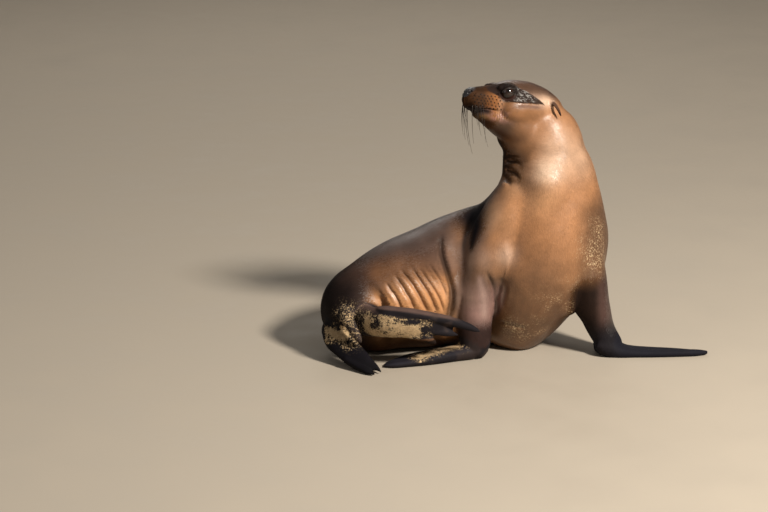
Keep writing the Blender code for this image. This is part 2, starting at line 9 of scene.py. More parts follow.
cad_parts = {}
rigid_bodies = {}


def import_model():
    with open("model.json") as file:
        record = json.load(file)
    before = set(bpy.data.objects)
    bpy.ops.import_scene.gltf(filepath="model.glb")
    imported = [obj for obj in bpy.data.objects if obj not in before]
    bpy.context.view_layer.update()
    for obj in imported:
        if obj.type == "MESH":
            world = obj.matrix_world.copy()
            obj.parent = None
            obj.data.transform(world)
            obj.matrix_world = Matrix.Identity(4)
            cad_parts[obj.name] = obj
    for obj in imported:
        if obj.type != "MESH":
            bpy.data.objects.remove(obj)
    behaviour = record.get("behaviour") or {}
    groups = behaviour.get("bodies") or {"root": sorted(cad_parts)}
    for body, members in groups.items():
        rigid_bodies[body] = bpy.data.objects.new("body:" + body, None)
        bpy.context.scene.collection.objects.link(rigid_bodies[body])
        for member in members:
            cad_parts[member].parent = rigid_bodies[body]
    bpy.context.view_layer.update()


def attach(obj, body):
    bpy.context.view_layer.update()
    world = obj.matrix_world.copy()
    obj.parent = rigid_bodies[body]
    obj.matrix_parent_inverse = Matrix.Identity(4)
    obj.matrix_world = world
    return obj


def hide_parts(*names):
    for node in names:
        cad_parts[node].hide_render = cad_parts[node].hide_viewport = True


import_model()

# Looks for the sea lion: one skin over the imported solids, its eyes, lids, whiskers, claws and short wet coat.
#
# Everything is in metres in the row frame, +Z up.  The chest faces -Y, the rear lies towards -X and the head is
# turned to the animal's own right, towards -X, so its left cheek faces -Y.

# ------------------------------------------------------------------ driving sizes
ORIGIN = Vector((-0.0573, 0.0132, 0.0))  # the pose frame's point that becomes the row's origin
VOXEL = 0.0018          # grain of the joined skin
SKIN_TRIANGLES = 192000
COAT_TUFTS = 150000     # in eight pieces
COAT_DEPTH = 0.0009     # the skin lies this far inside the solids

HEAD_AT = Vector((-0.0388, 0.0407, 0.5318))  # middle of the head, between the ears
HEAD_YAW = math.radians(26.7)    # how far the snout turns from -X towards -Y
HEAD_PITCH = math.radians(13.2)  # snout raised
HEAD_ROLL = math.radians(11.6)   # crown leans away from the open side

EYE_R = 0.0148
EYE_AT = (0.0635, 0.0352, 0.0120)  # forward, left, up from the middle of the head
RNG = np.random.default_rng(20)

# ------------------------------------------------------------------ helpers
def outward(bm):
    bmesh.ops.recalc_face_normals(bm, faces=bm.faces[:])
    if bm.calc_volume(signed=True) < 0:
        bmesh.ops.reverse_faces(bm, faces=bm.faces[:])
    return bm


def spline(table, steps):
    """Rows of a table read along a smooth curve through its rows, `steps` rows to each span."""
    t = np.array(table, float)
    d = np.linalg.norm(np.diff(t[:, :3], axis=0), axis=1)
    s = np.concatenate([[0], np.cumsum(np.maximum(d, 1e-6))])
    m = np.zeros_like(t)
    for i in range(len(t)):
        a, b = max(i - 1, 0), min(i + 1, len(t) - 1)
        m[i] = (t[b] - t[a]) / (s[b] - s[a])
        if 0 < i < len(t) - 1:  # weights the nearer neighbour more
            h0, h1 = s[i] - s[i - 1], s[i + 1] - s[i]
            m[i] = ((t[i] - t[i - 1]) / h0 * h1 + (t[i + 1] - t[i]) / h1 * h0) / (h0 + h1)
    rows = []
    for i in range(len(t) - 1):
        h = s[i + 1] - s[i]
        for k in range(steps):
            u = k / steps
            rows.append((2 * u**3 - 3 * u**2 + 1) * t[i] + (u**3 - 2 * u**2 + u) * h * m[i]
                        + (-2 * u**3 + 3 * u**2) * t[i + 1] + (u**3 - u**2) * h * m[i + 1])
    rows.append(t[-1])
    return np.array(rows)


def loft(table, ups, around=28, steps=4, matrix=None, power=2.0):
    """A closed tube mesh along a smooth curve.

    Each row of the table is x, y, z, then the section's half-widths: left side, right side, top, bottom.
    `ups` gives the section's top direction at each row.  Domed ends come from the last rows' sizes."""
    rows = spline([list(r) + list(u) for r, u in zip(table, ups)], steps)
    centres = rows[:, :3]
    tangents = np.gradient(centres, axis=0)
    bm = bmesh.new()
    rings = []
    for c, g, row in zip(centres, tangents, rows):
        g = Vector(g).normalized()
        up = Vector(row[7:10])
        up = (up - g * up.dot(g)).normalized()
        side = up.cross(g).normalized()  # left of one who looks along g
        ring = []
        for k in range(around):
            a = 2 * math.pi * k / around
            ca, sa = math.cos(a), math.sin(a)
            ex = 2.0 / power
            ca = math.copysign(abs(ca) ** ex, ca)
            sa = math.copysign(abs(sa) ** ex, sa)
            w = max(row[3] if ca > 0 else row[4], 0.0004)
            h = max(row[5] if sa > 0 else row[6], 0.0004)
            p = Vector(c) + side * (w * ca) + up * (h * sa)
            ring.append(bm.verts.new(matrix @ p if matrix else p))
        rings.append(ring)
    for a, b in zip(rings, rings[1:]):
        for k in range(around):
            bm.faces.new((a[k], a[(k + 1) % around], b[(k + 1) % around], b[k]))
    for ring in (rings[0], rings[-1]):
        bm.faces.new(ring)
    return outward(bm)


def ball(centre, radii, axes=None, matrix=None, around=24):
    """An ellipsoid with its radii along `axes` (three directions), or along X, Y and Z."""
    bm = bmesh.new()
    bmesh.ops.create_uvsphere(bm, u_segments=around, v_segments=around * 2 // 3, radius=1.0)
    turn = Matrix([Vector(a).normalized() for a in axes]).transposed() if axes else Matrix.Identity(3)
    for v in bm.verts:
        p = Vector((v.co.x * radii[0], v.co.y * radii[1], v.co.z * radii[2]))
        p = Vector(centre) + turn @ p
        v.co = matrix @ p if matrix else p
    return outward(bm)


def new_object(name, bm, material=None):
    mesh = bpy.data.meshes.new(name)
    bm.to_mesh(mesh)
    bm.free()
    obj = bpy.data.objects.new(name, mesh)
    bpy.context.scene.collection.objects.link(obj)
    if material:
        mesh.materials.append(material)
    return obj


def joined(name, parts):
    """One mesh that holds several closed forms, still overlapping."""
    whole = bmesh.new()
    for bm in parts:
        mesh = bpy.data.meshes.new("tmp")
        bm.to_mesh(mesh)
        bm.free()
        whole.from_mesh(mesh)
        bpy.data.meshes.remove(mesh)
    return new_object(name, whole)


def applied(obj):
    """The object with its modifiers worked into its mesh."""
    graph = bpy.context.evaluated_depsgraph_get()
    mesh = bpy.data.meshes.new_from_object(obj.evaluated_get(graph))
    old = obj.data
    obj.modifiers.clear()
    obj.data = mesh
    bpy.data.meshes.remove(old)
    return obj


def head_matrix():
    """Head coordinates are forward, left, up."""
    cy, sy, cp, sp = math.cos(HEAD_YAW), math.sin(HEAD_YAW), math.cos(HEAD_PITCH), math.sin(HEAD_PITCH)
    f = Vector((-cy * cp, -sy * cp, sp))
    u = Vector((cy * sp, sy * sp, cp))
    left = u.cross(f)
    cr, sr = math.cos(HEAD_ROLL), math.sin(HEAD_ROLL)
    u, left = cr * u - sr * left, cr * left + sr * u
    m = Matrix((f, left, u)).transposed().to_4x4()
    m.translation = HEAD_AT
    return m


# ------------------------------------------------------------------ the animal's forms
def body_forms():
    """Neck with chest, and trunk with haunch."""
    # x, y, z, left, right, top, bottom half-widths; sections run from the head down
    neck_chest = [
        (-0.004, 0.044, 0.530, 0.030, 0.028, 0.030, 0.030),
        (-0.002, 0.044, 0.508, 0.056, 0.050, 0.056, 0.056),
        (0.004, 0.045, 0.470, 0.077, 0.074, 0.077, 0.076),
        (0.0065, 0.045, 0.419, 0.090, 0.088, 0.088, 0.086),
        (0.014, 0.046, 0.369, 0.101, 0.102, 0.098, 0.098),
        (0.014, 0.048, 0.335, 0.109, 0.114, 0.108, 0.110),
        (0.010, 0.052, 0.270, 0.129, 0.133, 0.120, 0.128),
        (0.007, 0.055, 0.215, 0.133, 0.137, 0.124, 0.134),
        (-0.005, 0.056, 0.165, 0.130, 0.130, 0.122, 0.134),
        (-0.020, 0.056, 0.118, 0.122, 0.110, 0.114, 0.124),
        (-0.034, 0.055, 0.072, 0.100, 0.086, 0.100, 0.104),
        (-0.048, 0.055, 0.034, 0.088, 0.064, 0.082, 0.084),
        (-0.060, 0.055, 0.004, 0.076, 0.040, 0.058, 0.060),
        (-0.064, 0.055, -0.010, 0.040, 0.022, 0.030, 0.030),
    ]
    forms = [loft(neck_chest, [(0, 1, 0)] * len(neck_chest), around=40, steps=4)]
    throat = [
        (-0.060, 0.030, 0.512, 0.030, 0.030, 0.030, 0.030),
        (-0.050, 0.033, 0.490, 0.055, 0.055, 0.055, 0.055),
        (-0.030, 0.038, 0.460, 0.062, 0.063, 0.062, 0.062),
        (-0.010, 0.043, 0.420, 0.070, 0.070, 0.070, 0.070),
        (0.002, 0.045, 0.380, 0.070, 0.070, 0.070, 0.070),
    ]
    forms.append(loft(throat, [(0, 1, 0)] * len(throat), around=32, steps=4))
    saddle = [
        (0.010, 0.056, 0.385, 0.070, 0.070, 0.070, 0.070),
        (0.002, 0.062, 0.320, 0.096, 0.096, 0.096, 0.096),
        (-0.030, 0.072, 0.248, 0.108, 0.108, 0.108, 0.108),
        (-0.090, 0.078, 0.186, 0.112, 0.112, 0.112, 0.112),
        (-0.150, 0.072, 0.150, 0.118, 0.118, 0.118, 0.118),
        (-0.210, 0.062, 0.135, 0.110, 0.110, 0.110, 0.110),
    ]
    forms.append(loft(saddle, [(0.1, 1, 0.4)] * len(saddle), around=32, steps=4))
    trunk = [
        (0.020, 0.070, 0.180, 0.060, 0.060, 0.050, 0.060),
        (-0.020, 0.074, 0.172, 0.096, 0.110, 0.104, 0.110),
        (-0.070, 0.080, 0.165, 0.102, 0.120, 0.138, 0.138),
        (-0.120, 0.082, 0.151, 0.097, 0.122, 0.143, 0.146),
        (-0.165, 0.076, 0.141, 0.102, 0.123, 0.138, 0.141),
        (-0.215, 0.060, 0.129, 0.122, 0.126, 0.132, 0.134),
        (-0.298, 0.032, 0.115, 0.119, 0.118, 0.117, 0.120),
        (-0.355, 0.008, 0.099, 0.106, 0.104, 0.101, 0.103),
        (-0.390, -0.020, 0.091, 0.092, 0.088, 0.088, 0.091),
        (-0.403, -0.050, 0.087, 0.070, 0.062, 0.070, 0.068),
        (-0.409, -0.072, 0.085, 0.046, 0.038, 0.046, 0.046),
        (-0.411, -0.086, 0.083, 0.018, 0.018, 0.018, 0.018),
    ]
    lean = [(0.1, 0.0, 1)] * 4 + [(0.1, 0.12, 1)] + [(0.1, 0.24, 1)] * (len(trunk) - 5)
    forms.append(loft(trunk, lean, around=40, steps=4))
    return forms


def head_forms(m):
    """Skull, muzzle, cheeks, jaw and throat, in head coordinates: forward, left, up."""
    skull = [
        (-0.088, 0, -0.028, 0.014, 0.014, 0.014, 0.014),
        (-0.076, 0, -0.026, 0.033, 0.034, 0.034, 0.034),
        (-0.050, 0, -0.019, 0.052, 0.053, 0.047, 0.050),
        (-0.012, 0, -0.013, 0.0605, 0.0605, 0.0545, 0.057),
        (0.025, 0, -0.009, 0.0585, 0.0585, 0.0535, 0.054),
        (0.055, 0, -0.008, 0.049, 0.049, 0.047, 0.048),
        (0.078, 0, -0.008, 0.037, 0.037, 0.037, 0.042),
        (0.100, 0, -0.009, 0.029, 0.029, 0.0315, 0.036),
        (0.118, 0, -0.008, 0.026, 0.026, 0.0275, 0.030),
        (0.133, 0, -0.005, 0.0215, 0.0215, 0.0225, 0.022),
        (0.143, 0, -0.001, 0.013, 0.013, 0.0145, 0.015),
        (0.1465, 0, -0.000, 0.004, 0.004, 0.005, 0.005),
    ]
    forms = [loft(skull, [(0, 0, 1)] * len(skull), around=32, steps=4, matrix=m)]
    jaw = [
        (0.122, 0, -0.036, 0.004, 0.004, 0.003, 0.003),
        (0.117, 0, -0.037, 0.013, 0.013, 0.009, 0.008),
        (0.101, 0, -0.038, 0.022, 0.022, 0.016, 0.0145),
        (0.075, 0, -0.042, 0.034, 0.034, 0.026, 0.024),
        (0.040, 0, -0.050, 0.047, 0.047, 0.038, 0.034),
        (0.000, 0, -0.056, 0.052, 0.052, 0.050, 0.046),
        (-0.030, 0, -0.060, 0.030, 0.030, 0.030, 0.030),
    ]
    forms.append(loft(jaw, [(0, 0, 1)] * len(jaw), around=24, steps=4, matrix=m))
    for side in (1, -1):
        # whisker pad, brow, cheek
        forms.append(ball((0.1150, side * 0.0150, -0.0170), (0.025, 0.0170, 0.0170), matrix=m))
        forms.append(ball((0.058, side * 0.030, 0.019), (0.028, 0.0165, 0.0150), matrix=m))
        forms.append(ball((0.028, side * 0.034, -0.020), (0.046, 0.026, 0.034), matrix=m))
        ear = [
            (-0.030, side * 0.050, 0.006, 0.004, 0.004, 0.003, 0.003),
            (-0.033, side * 0.0580, 0.003, 0.0065, 0.0065, 0.0050, 0.0050),
            (-0.037, side * 0.0665, -0.005, 0.0068, 0.0068, 0.0050, 0.0050),
            (-0.041, side * 0.0735, -0.015, 0.0055, 0.0055, 0.0048, 0.0048),
            (-0.044, side * 0.0790, -0.025, 0.0030, 0.0030, 0.0030, 0.0030),
        ]
        forms.append(loft(ear, [(0, side, 0.5)] * len(ear), around=12, steps=3, matrix=m))
    return forms


def fore_limb(side):
    """Upper arm, forearm and flipper of one side, -1 right and +1 left."""
    if side < 0:
        arm = [
            (-0.010, 0.036, 0.385, 0.030, 0.030, 0.030, 0.030),
            (-0.030, 0.028, 0.350, 0.056, 0.056, 0.052, 0.052),
            (-0.060, 0.014, 0.300, 0.066, 0.066, 0.060, 0.062),
            (-0.090, 0.003, 0.250, 0.067, 0.067, 0.060, 0.062),
            (-0.113, -0.005, 0.205, 0.063, 0.063, 0.056, 0.056),
            (-0.130, -0.015, 0.160, 0.056, 0.054, 0.049, 0.049),
            (-0.138, -0.026, 0.120, 0.046, 0.040, 0.0445, 0.0430),
            (-0.140, -0.041, 0.078, 0.034, 0.024, 0.041, 0.038),
            (-0.139, -0.046, 0.045, 0.030, 0.024, 0.037, 0.034),
            (-0.138, -0.045, 0.018, 0.027, 0.023, 0.032, 0.028),
            (-0.137, -0.043, 0.004, 0.016, 0.015, 0.018, 0.016),
        ]
        hand = [
            (-0.112, -0.040, 0.020, 0.010, 0.010, 0.006, 0.010),
            (-0.124, -0.042, 0.020, 0.026, 0.024, 0.017, 0.020),
            (-0.150, -0.048, 0.017, 0.029, 0.026, 0.015, 0.018),
            (-0.185, -0.058, 0.013, 0.031, 0.030, 0.012, 0.015),
            (-0.225, -0.070, 0.010, 0.033, 0.036, 0.010, 0.011),
            (-0.265, -0.083, 0.008, 0.030, 0.034, 0.008, 0.009),
            (-0.298, -0.100, 0.006, 0.021, 0.025, 0.0065, 0.007),
            (-0.320, -0.110, 0.005, 0.013, 0.015, 0.005, 0.006),
            (-0.332, -0.117, 0.0045, 0.005, 0.005, 0.003, 0.004),
        ]
        lead = [
            (-0.125, -0.050, 0.020, 0.008, 0.008, 0.008, 0.008),
            (-0.140, -0.055, 0.017, 0.016, 0.016, 0.016, 0.016),
            (-0.180, -0.074, 0.013, 0.014, 0.014, 0.0135, 0.0135),
            (-0.230, -0.096, 0.010, 0.012, 0.012, 0.0105, 0.011),
            (-0.280, -0.112, 0.007, 0.010, 0.010, 0.008, 0.008),
            (-0.320, -0.120, 0.005, 0.008, 0.008, 0.006, 0.006),
            (-0.334, -0.121, 0.004, 0.003, 0.003, 0.003, 0.003),
        ]
    else:
        arm = [
            (0.040, 0.034, 0.350, 0.030, 0.030, 0.030, 0.030),
            (0.052, 0.028, 0.315, 0.052, 0.052, 0.048, 0.048),
            (0.068, 0.020, 0.262, 0.060, 0.060, 0.052, 0.050),
            (0.084, 0.010, 0.210, 0.058, 0.058, 0.047, 0.045),
            (0.100, -0.002, 0.150, 0.051, 0.051, 0.041, 0.040),
            (0.109, -0.008, 0.108, 0.047, 0.047, 0.037, 0.036),
            (0.120, -0.012, 0.070, 0.042, 0.042, 0.033, 0.032),
            (0.132, -0.016, 0.040, 0.038, 0.038, 0.028, 0.027),
            (0.142, -0.019, 0.020, 0.032, 0.032, 0.022, 0.022),
            (0.145, -0.020, 0.004, 0.018, 0.018, 0.013, 0.014),
        ]
        hand = [
            (0.112, -0.014, 0.014, 0.010, 0.010, 0.006, 0.010),
            (0.124, -0.014, 0.014, 0.032, 0.032, 0.014, 0.016),
            (0.152, -0.016, 0.008, 0.036, 0.036, 0.009, 0.011),
            (0.195, -0.019, 0.0055, 0.033, 0.034, 0.0055, 0.009),
            (0.235, -0.022, 0.005, 0.029, 0.030, 0.0050, 0.008),
            (0.275, -0.025, 0.005, 0.025, 0.026, 0.0050, 0.007),
            (0.310, -0.028, 0.005, 0.018, 0.019, 0.0050, 0.007),
            (0.336, -0.032, 0.005, 0.011, 0.012, 0.0050, 0.006),
            (0.350, -0.034, 0.006, 0.004, 0.004, 0.004, 0.005),
        ]
        lead = [
            (0.118, -0.040, 0.028, 0.012, 0.012, 0.012, 0.012),
            (0.134, -0.044, 0.019, 0.015, 0.015, 0.017, 0.018),
            (0.160, -0.046, 0.010, 0.013, 0.013, 0.0130, 0.013),
            (0.200, -0.046, 0.0075, 0.012, 0.012, 0.0095, 0.010),
            (0.245, -0.045, 0.0070, 0.011, 0.011, 0.0090, 0.010),
            (0.290, -0.043, 0.0070, 0.010, 0.010, 0.0085, 0.009),
            (0.335, -0.037, 0.0065, 0.009, 0.009, 0.0075, 0.008),
            (0.354, -0.034, 0.0065, 0.004, 0.004, 0.004, 0.005),
        ]
    forms = [
        loft(arm, [(side, 0, 0)] * len(arm), around=28, steps=4),
        loft(hand, [(0, 0, 1)] * len(hand), around=28, steps=4),
        loft(lead, [(0, 0, 1)] * len(lead), around=16, steps=4),
    ]
    return forms


def hind_forms():
    """Both hind flippers, with their ankles, and the tail."""
    forms = []
    # right: lies along the flank, its sole outwards, its long first toe uppermost
    foot = [
        (-0.400, -0.036, 0.086, 0.016, 0.016, 0.020, 0.020),
        (-0.380, -0.068, 0.089, 0.024, 0.024, 0.032, 0.032),
        (-0.355, -0.102, 0.094, 0.021, 0.021, 0.035, 0.033),
        (-0.328, -0.124, 0.097, 0.019, 0.019, 0.036, 0.031),
        (-0.290, -0.131, 0.096, 0.016, 0.016, 0.034, 0.029),
        (-0.255, -0.129, 0.092, 0.013, 0.013, 0.030, 0.026),
        (-0.225, -0.123, 0.088, 0.010, 0.010, 0.024, 0.019),
        (-0.200, -0.116, 0.084, 0.006, 0.006, 0.015, 0.011),
        (-0.188, -0.112, 0.082, 0.003, 0.003, 0.006, 0.006),
    ]
    forms.append(loft(foot, [(0, -0.22, 1)] * len(foot), around=28, steps=4))
    first_toe = [
        (-0.350, -0.114, 0.124, 0.006, 0.006, 0.006, 0.006),
        (-0.338, -0.122, 0.128, 0.012, 0.012, 0.010, 0.010),
        (-0.300, -0.134, 0.127, 0.013, 0.013, 0.011, 0.012),
        (-0.250, -0.133, 0.118, 0.013, 0.013, 0.0115, 0.012),
        (-0.205, -0.124, 0.106, 0.012, 0.012, 0.0115, 0.012),
        (-0.168, -0.114, 0.092, 0.010, 0.010, 0.010, 0.010),
        (-0.143, -0.107, 0.080, 0.007, 0.007, 0.007, 0.007),
        (-0.130, -0.103, 0.073, 0.002, 0.002, 0.002, 0.002),
    ]
    forms.append(loft(first_toe, [(0, -0.22, 1)] * len(first_toe), around=16, steps=4))
    for toe in (
        [(-0.270, -0.130, 0.086, 0.008, 0.008, 0.009, 0.009), (-0.225, -0.125, 0.081, 0.008, 0.008, 0.009, 0.009),
         (-0.190, -0.118, 0.074, 0.0065, 0.0065, 0.007, 0.007), (-0.176, -0.115, 0.070, 0.002, 0.002, 0.002, 0.002)],
        [(-0.280, -0.130, 0.075, 0.008, 0.008, 0.009, 0.009), (-0.246, -0.128, 0.067, 0.007, 0.007, 0.008, 0.008),
         (-0.228, -0.126, 0.059, 0.0055, 0.0055, 0.006, 0.006), (-0.222, -0.125, 0.055, 0.002, 0.002, 0.002, 0.002)],
    ):
        forms.append(loft(toe, [(0, -0.22, 1)] * len(toe), around=14, steps=4))
    # left: reaches out from under the haunch on its outer edge, toes on the ground
    foot = [
        (-0.432, -0.012, 0.068, 0.018, 0.018, 0.018, 0.018),
        (-0.437, -0.034, 0.064, 0.029, 0.029, 0.022, 0.024),
        (-0.435, -0.060, 0.058, 0.030, 0.030, 0.018, 0.020),
        (-0.430, -0.080, 0.050, 0.029, 0.029, 0.016, 0.018),
        (-0.414, -0.100, 0.041, 0.027, 0.028, 0.013, 0.014),
        (-0.394, -0.122, 0.030, 0.024, 0.028, 0.010, 0.011),
        (-0.374, -0.140, 0.020, 0.019, 0.025, 0.008, 0.008),
        (-0.358, -0.152, 0.012, 0.010, 0.016, 0.006, 0.006),
        (-0.350, -0.158, 0.009, 0.004, 0.005, 0.004, 0.004),
    ]
    forms.append(loft(foot, [(-0.45, -0.55, 0.70)] * len(foot), around=28, steps=4))
    for toe in (
        [(-0.392, -0.112, 0.040, 0.008, 0.008, 0.007, 0.007), (-0.368, -0.134, 0.026, 0.0075, 0.0075, 0.007, 0.007),
         (-0.346, -0.156, 0.010, 0.006, 0.006, 0.006, 0.006), (-0.337, -0.165, 0.005, 0.002, 0.002, 0.002, 0.002)],
        [(-0.412, -0.124, 0.022, 0.009, 0.009, 0.008, 0.008), (-0.386, -0.148, 0.012, 0.008, 0.008, 0.007, 0.007),
         (-0.360, -0.171, 0.006, 0.006, 0.006, 0.005, 0.006), (-0.350, -0.178, 0.005, 0.002, 0.002, 0.002, 0.003)],
    ):
        forms.append(loft(toe, [(-0.2, -0.3, 1)] * len(toe), around=14, steps=4))
    tail = [
        (-0.412, -0.062, 0.106, 0.018, 0.018, 0.015, 0.015),
        (-0.412, -0.086, 0.106, 0.016, 0.016, 0.014, 0.014),
        (-0.406, -0.108, 0.098, 0.014, 0.014, 0.012, 0.012),
        (-0.394, -0.122, 0.081, 0.011, 0.011, 0.010, 0.010),
        (-0.384, -0.128, 0.064, 0.008, 0.008, 0.007, 0.007),
        (-0.380, -0.129, 0.056, 0.003, 0.003, 0.003, 0.003),
    ]
    forms.append(loft(tail, [(-0.3, -1, 0.3)] * len(tail), around=16, steps=4))
    return forms


def all_forms():
    m = head_matrix()
    return body_forms() + head_forms(m) + fore_limb(-1) + fore_limb(1) + hind_forms()

# ------------------------------------------------------------------ numbers over many points
def step(a, b, x):
    """Rises smoothly from 0 at a to 1 at b."""
    t = np.clip((x - a) / (b - a), 0.0, 1.0)
    return t * t * (3 - 2 * t)


def grain(p, scale, seed=0):
    """Smooth noise from -1 to 1 at the points p."""
    q = p * scale + seed * 19.37
    i = np.floor(q).astype(np.int64)
    f = q - i
    f = f * f * (3 - 2 * f)
    out = np.zeros(len(p))
    for dx in (0, 1):
        for dy in (0, 1):
            for dz in (0, 1):
                h = (i[:, 0] + dx) * 73856093 ^ (i[:, 1] + dy) * 19349663 ^ (i[:, 2] + dz) * 83492791 ^ (seed * 2654435)
                h = (h ^ (h >> 13)) * 1274126177
                h = (h ^ (h >> 16)) & 0xFFFF
                w = ((f[:, 0] if dx else 1 - f[:, 0]) * (f[:, 1] if dy else 1 - f[:, 1])
                     * (f[:, 2] if dz else 1 - f[:, 2]))
                out += w * (h / 32767.5 - 1.0)
    return out


def cloud(p, scale, octaves=3, seed=0):
    total, size = np.zeros(len(p)), 1.0
    for k in range(octaves):
        total += size * grain(p, scale * 2**k, seed + k * 7)
        size *= 0.5
    return total / 1.6


def unit(v):
    return v / np.maximum(np.linalg.norm(v, axis=-1, keepdims=True), 1e-9)


def smooth_line(points, count=24):
    """A Catmull-Rom line through a few points."""
    t = np.array(points, float)
    t = np.vstack([2 * t[0] - t[1], t, 2 * t[-1] - t[-2]])
    out = []
    spans = len(t) - 3
    per = max(2, count // spans)
    for i in range(spans):
        a, b, c, d = t[i:i + 4]
        for k in range(per):
            u = k / per
            out.append(0.5 * (2 * b + (c - a) * u + (2 * a - 5 * b + 4 * c - d) * u * u + (3 * b - a - 3 * c + d) * u**3))
    out.append(t[-2])
    return np.array(out)


def to_line(p, line):
    """Distance from each point to a line of segments, the share along it, and the nearest place."""
    best = np.full(len(p), 1e9)
    share = np.zeros(len(p))
    place = np.zeros_like(p)
    n = len(line) - 1
    for i in range(n):
        a, b = line[i], line[i + 1]
        ab = b - a
        t = np.clip(((p - a) @ ab) / max(ab @ ab, 1e-12), 0, 1)
        q = a + t[:, None] * ab
        d = np.linalg.norm(p - q, axis=1)
        near = d < best
        best[near], share[near], place[near] = d[near], (i + t[near]) / n, q[near]
    return best, share, place


def nearness(p, table):
    """How near points are to a limb's middle line, as a share of its own half-width there."""
    rows = spline(table, 4)
    best = np.full(len(p), 1e9)
    for row in rows:
        c = row[:3] - np.array(ORIGIN)
        r = max(row[3:7].mean(), 0.006)
        best = np.minimum(best, np.linalg.norm(p - c, axis=1) / r)
    return best


def blob(p, centre, radius):
    return np.exp(-((p - np.array(centre))**2).sum(1) / radius**2)


def coords(mesh):
    co = np.zeros(len(mesh.vertices) * 3)
    mesh.vertices.foreach_get("co", co)
    return co.reshape(-1, 3)


def put_coords(mesh, co):
    mesh.vertices.foreach_set("co", co.astype(np.float32).ravel())
    mesh.update()


def vertex_normals(mesh):
    no = np.zeros(len(mesh.vertices) * 3)
    mesh.vertices.foreach_get("normal", no)
    return no.reshape(-1, 3)


HEAD = head_matrix()
HEAD.translation = HEAD_AT - ORIGIN
HEAD_R = np.array(HEAD.to_3x3())
HEAD_T = np.array(HEAD.translation)


def to_head(p):
    """Forward, left and up from the middle of the head."""
    return (p - HEAD_T) @ HEAD_R


def from_head(h):
    return np.asarray(h, float) @ HEAD_R.T + HEAD_T


# ------------------------------------------------------------------ skin
def fine_forms():
    return all_forms()


def base_skin():
    skin = joined("skin", fine_forms())
    for v in skin.data.vertices:
        v.co -= ORIGIN
    remesh = skin.modifiers.new("join", "REMESH")
    remesh.mode = "VOXEL"
    remesh.voxel_size = VOXEL
    applied(skin)
    co = coords(skin.data)
    h = to_head(co)
    x, y, z = (co + np.array(ORIGIN)).T
    w = np.where(z > 0.40, np.clip((-0.030 - h[:, 0]) / 0.04, 0, 1), 1.0)
    w *= np.clip((z - 0.020) / 0.04, 0, 1)
    w = np.where((y < -0.055) & (z < 0.135), 0.0, w)
    w = np.where((x < -0.36) & (y < -0.01) & (z < 0.13), w * 0.15, w)
    w = np.maximum(w, np.clip(1.5 * blob(co, (0.216, -0.034, 0.030), 0.026), 0, 1))
    broad = skin.vertex_groups.new(name="broad")
    # cheeks, jaw and nape run into the neck; ears, eyes and muzzle keep their shape
    ear_gap = np.minimum(*[to_line(h, np.array([(-0.026, s * 0.046, 0.008), (-0.033, s * 0.058, 0.003), (-0.044, s * 0.079, -0.025)]))[0] for s in (1, -1)])
    jowl = np.clip((0.055 - h[:, 0]) / 0.04, 0, 1) * np.clip((ear_gap - 0.011) / 0.012, 0, 1) * np.clip((-h[:, 2] + 0.020) / 0.03, 0, 1)
    w = np.where(z > 0.40, np.maximum(w * np.clip((ear_gap - 0.008) / 0.012, 0, 1), 0.75 * jowl), w)
    level = np.round(w * 20).astype(int)
    for k in range(1, 21):
        ids = np.nonzero(level == k)[0]
        if len(ids):
            broad.add(ids.tolist(), k / 20, "REPLACE")
    ratio = (0.0032 / VOXEL)**2
    wide = skin.modifiers.new("broad", "SMOOTH")
    wide.factor, wide.iterations, wide.vertex_group = 0.5, int(60 * ratio), "broad"
    fine = skin.modifiers.new("fine", "SMOOTH")
    fine.factor, fine.iterations = 0.5, int(5 * ratio)
    applied(skin)
    skin.vertex_groups.clear()
    return skin


def refine(skin, centre_test):
    """Halves the grain where centre_test holds."""
    bm = bmesh.new()
    bm.from_mesh(skin.data)
    bm.faces.ensure_lookup_table()
    mid = np.array([f.calc_center_median() for f in bm.faces])
    chosen = centre_test(mid)
    edges = {e for i in np.nonzero(chosen)[0] for e in bm.faces[int(i)].edges}
    bmesh.ops.subdivide_edges(bm, edges=list(edges), cuts=1, use_grid_fill=True)
    bm.to_mesh(skin.data)
    bm.free()
    return skin


def eye_axes(side):
    """Middle of the eye and its outward, along and up directions, in the row frame."""
    centre = from_head([EYE_AT[0], side * EYE_AT[1], EYE_AT[2]])
    out = unit(np.array([0.36, side * 0.90, 0.26]))
    along = np.array([1.0, 0.0, 0.0])
    along = unit(along - out * (along @ out))
    up = np.cross(out, along)
    if up[2] < 0:
        up = -up
    tilt = math.radians(9)
    along, up = along * math.cos(tilt) - up * math.sin(tilt), up * math.cos(tilt) + along * math.sin(tilt)
    return centre, HEAD_R @ out, HEAD_R @ along, HEAD_R @ up


LID_LONG, LID_UP, LID_LOW = 0.92, 0.31, 0.36


def lid_edges(a):
    arch = np.clip(1 - (a / LID_LONG)**2, 0, 1)
    return LID_UP * arch**0.62, -LID_LOW * arch**0.75


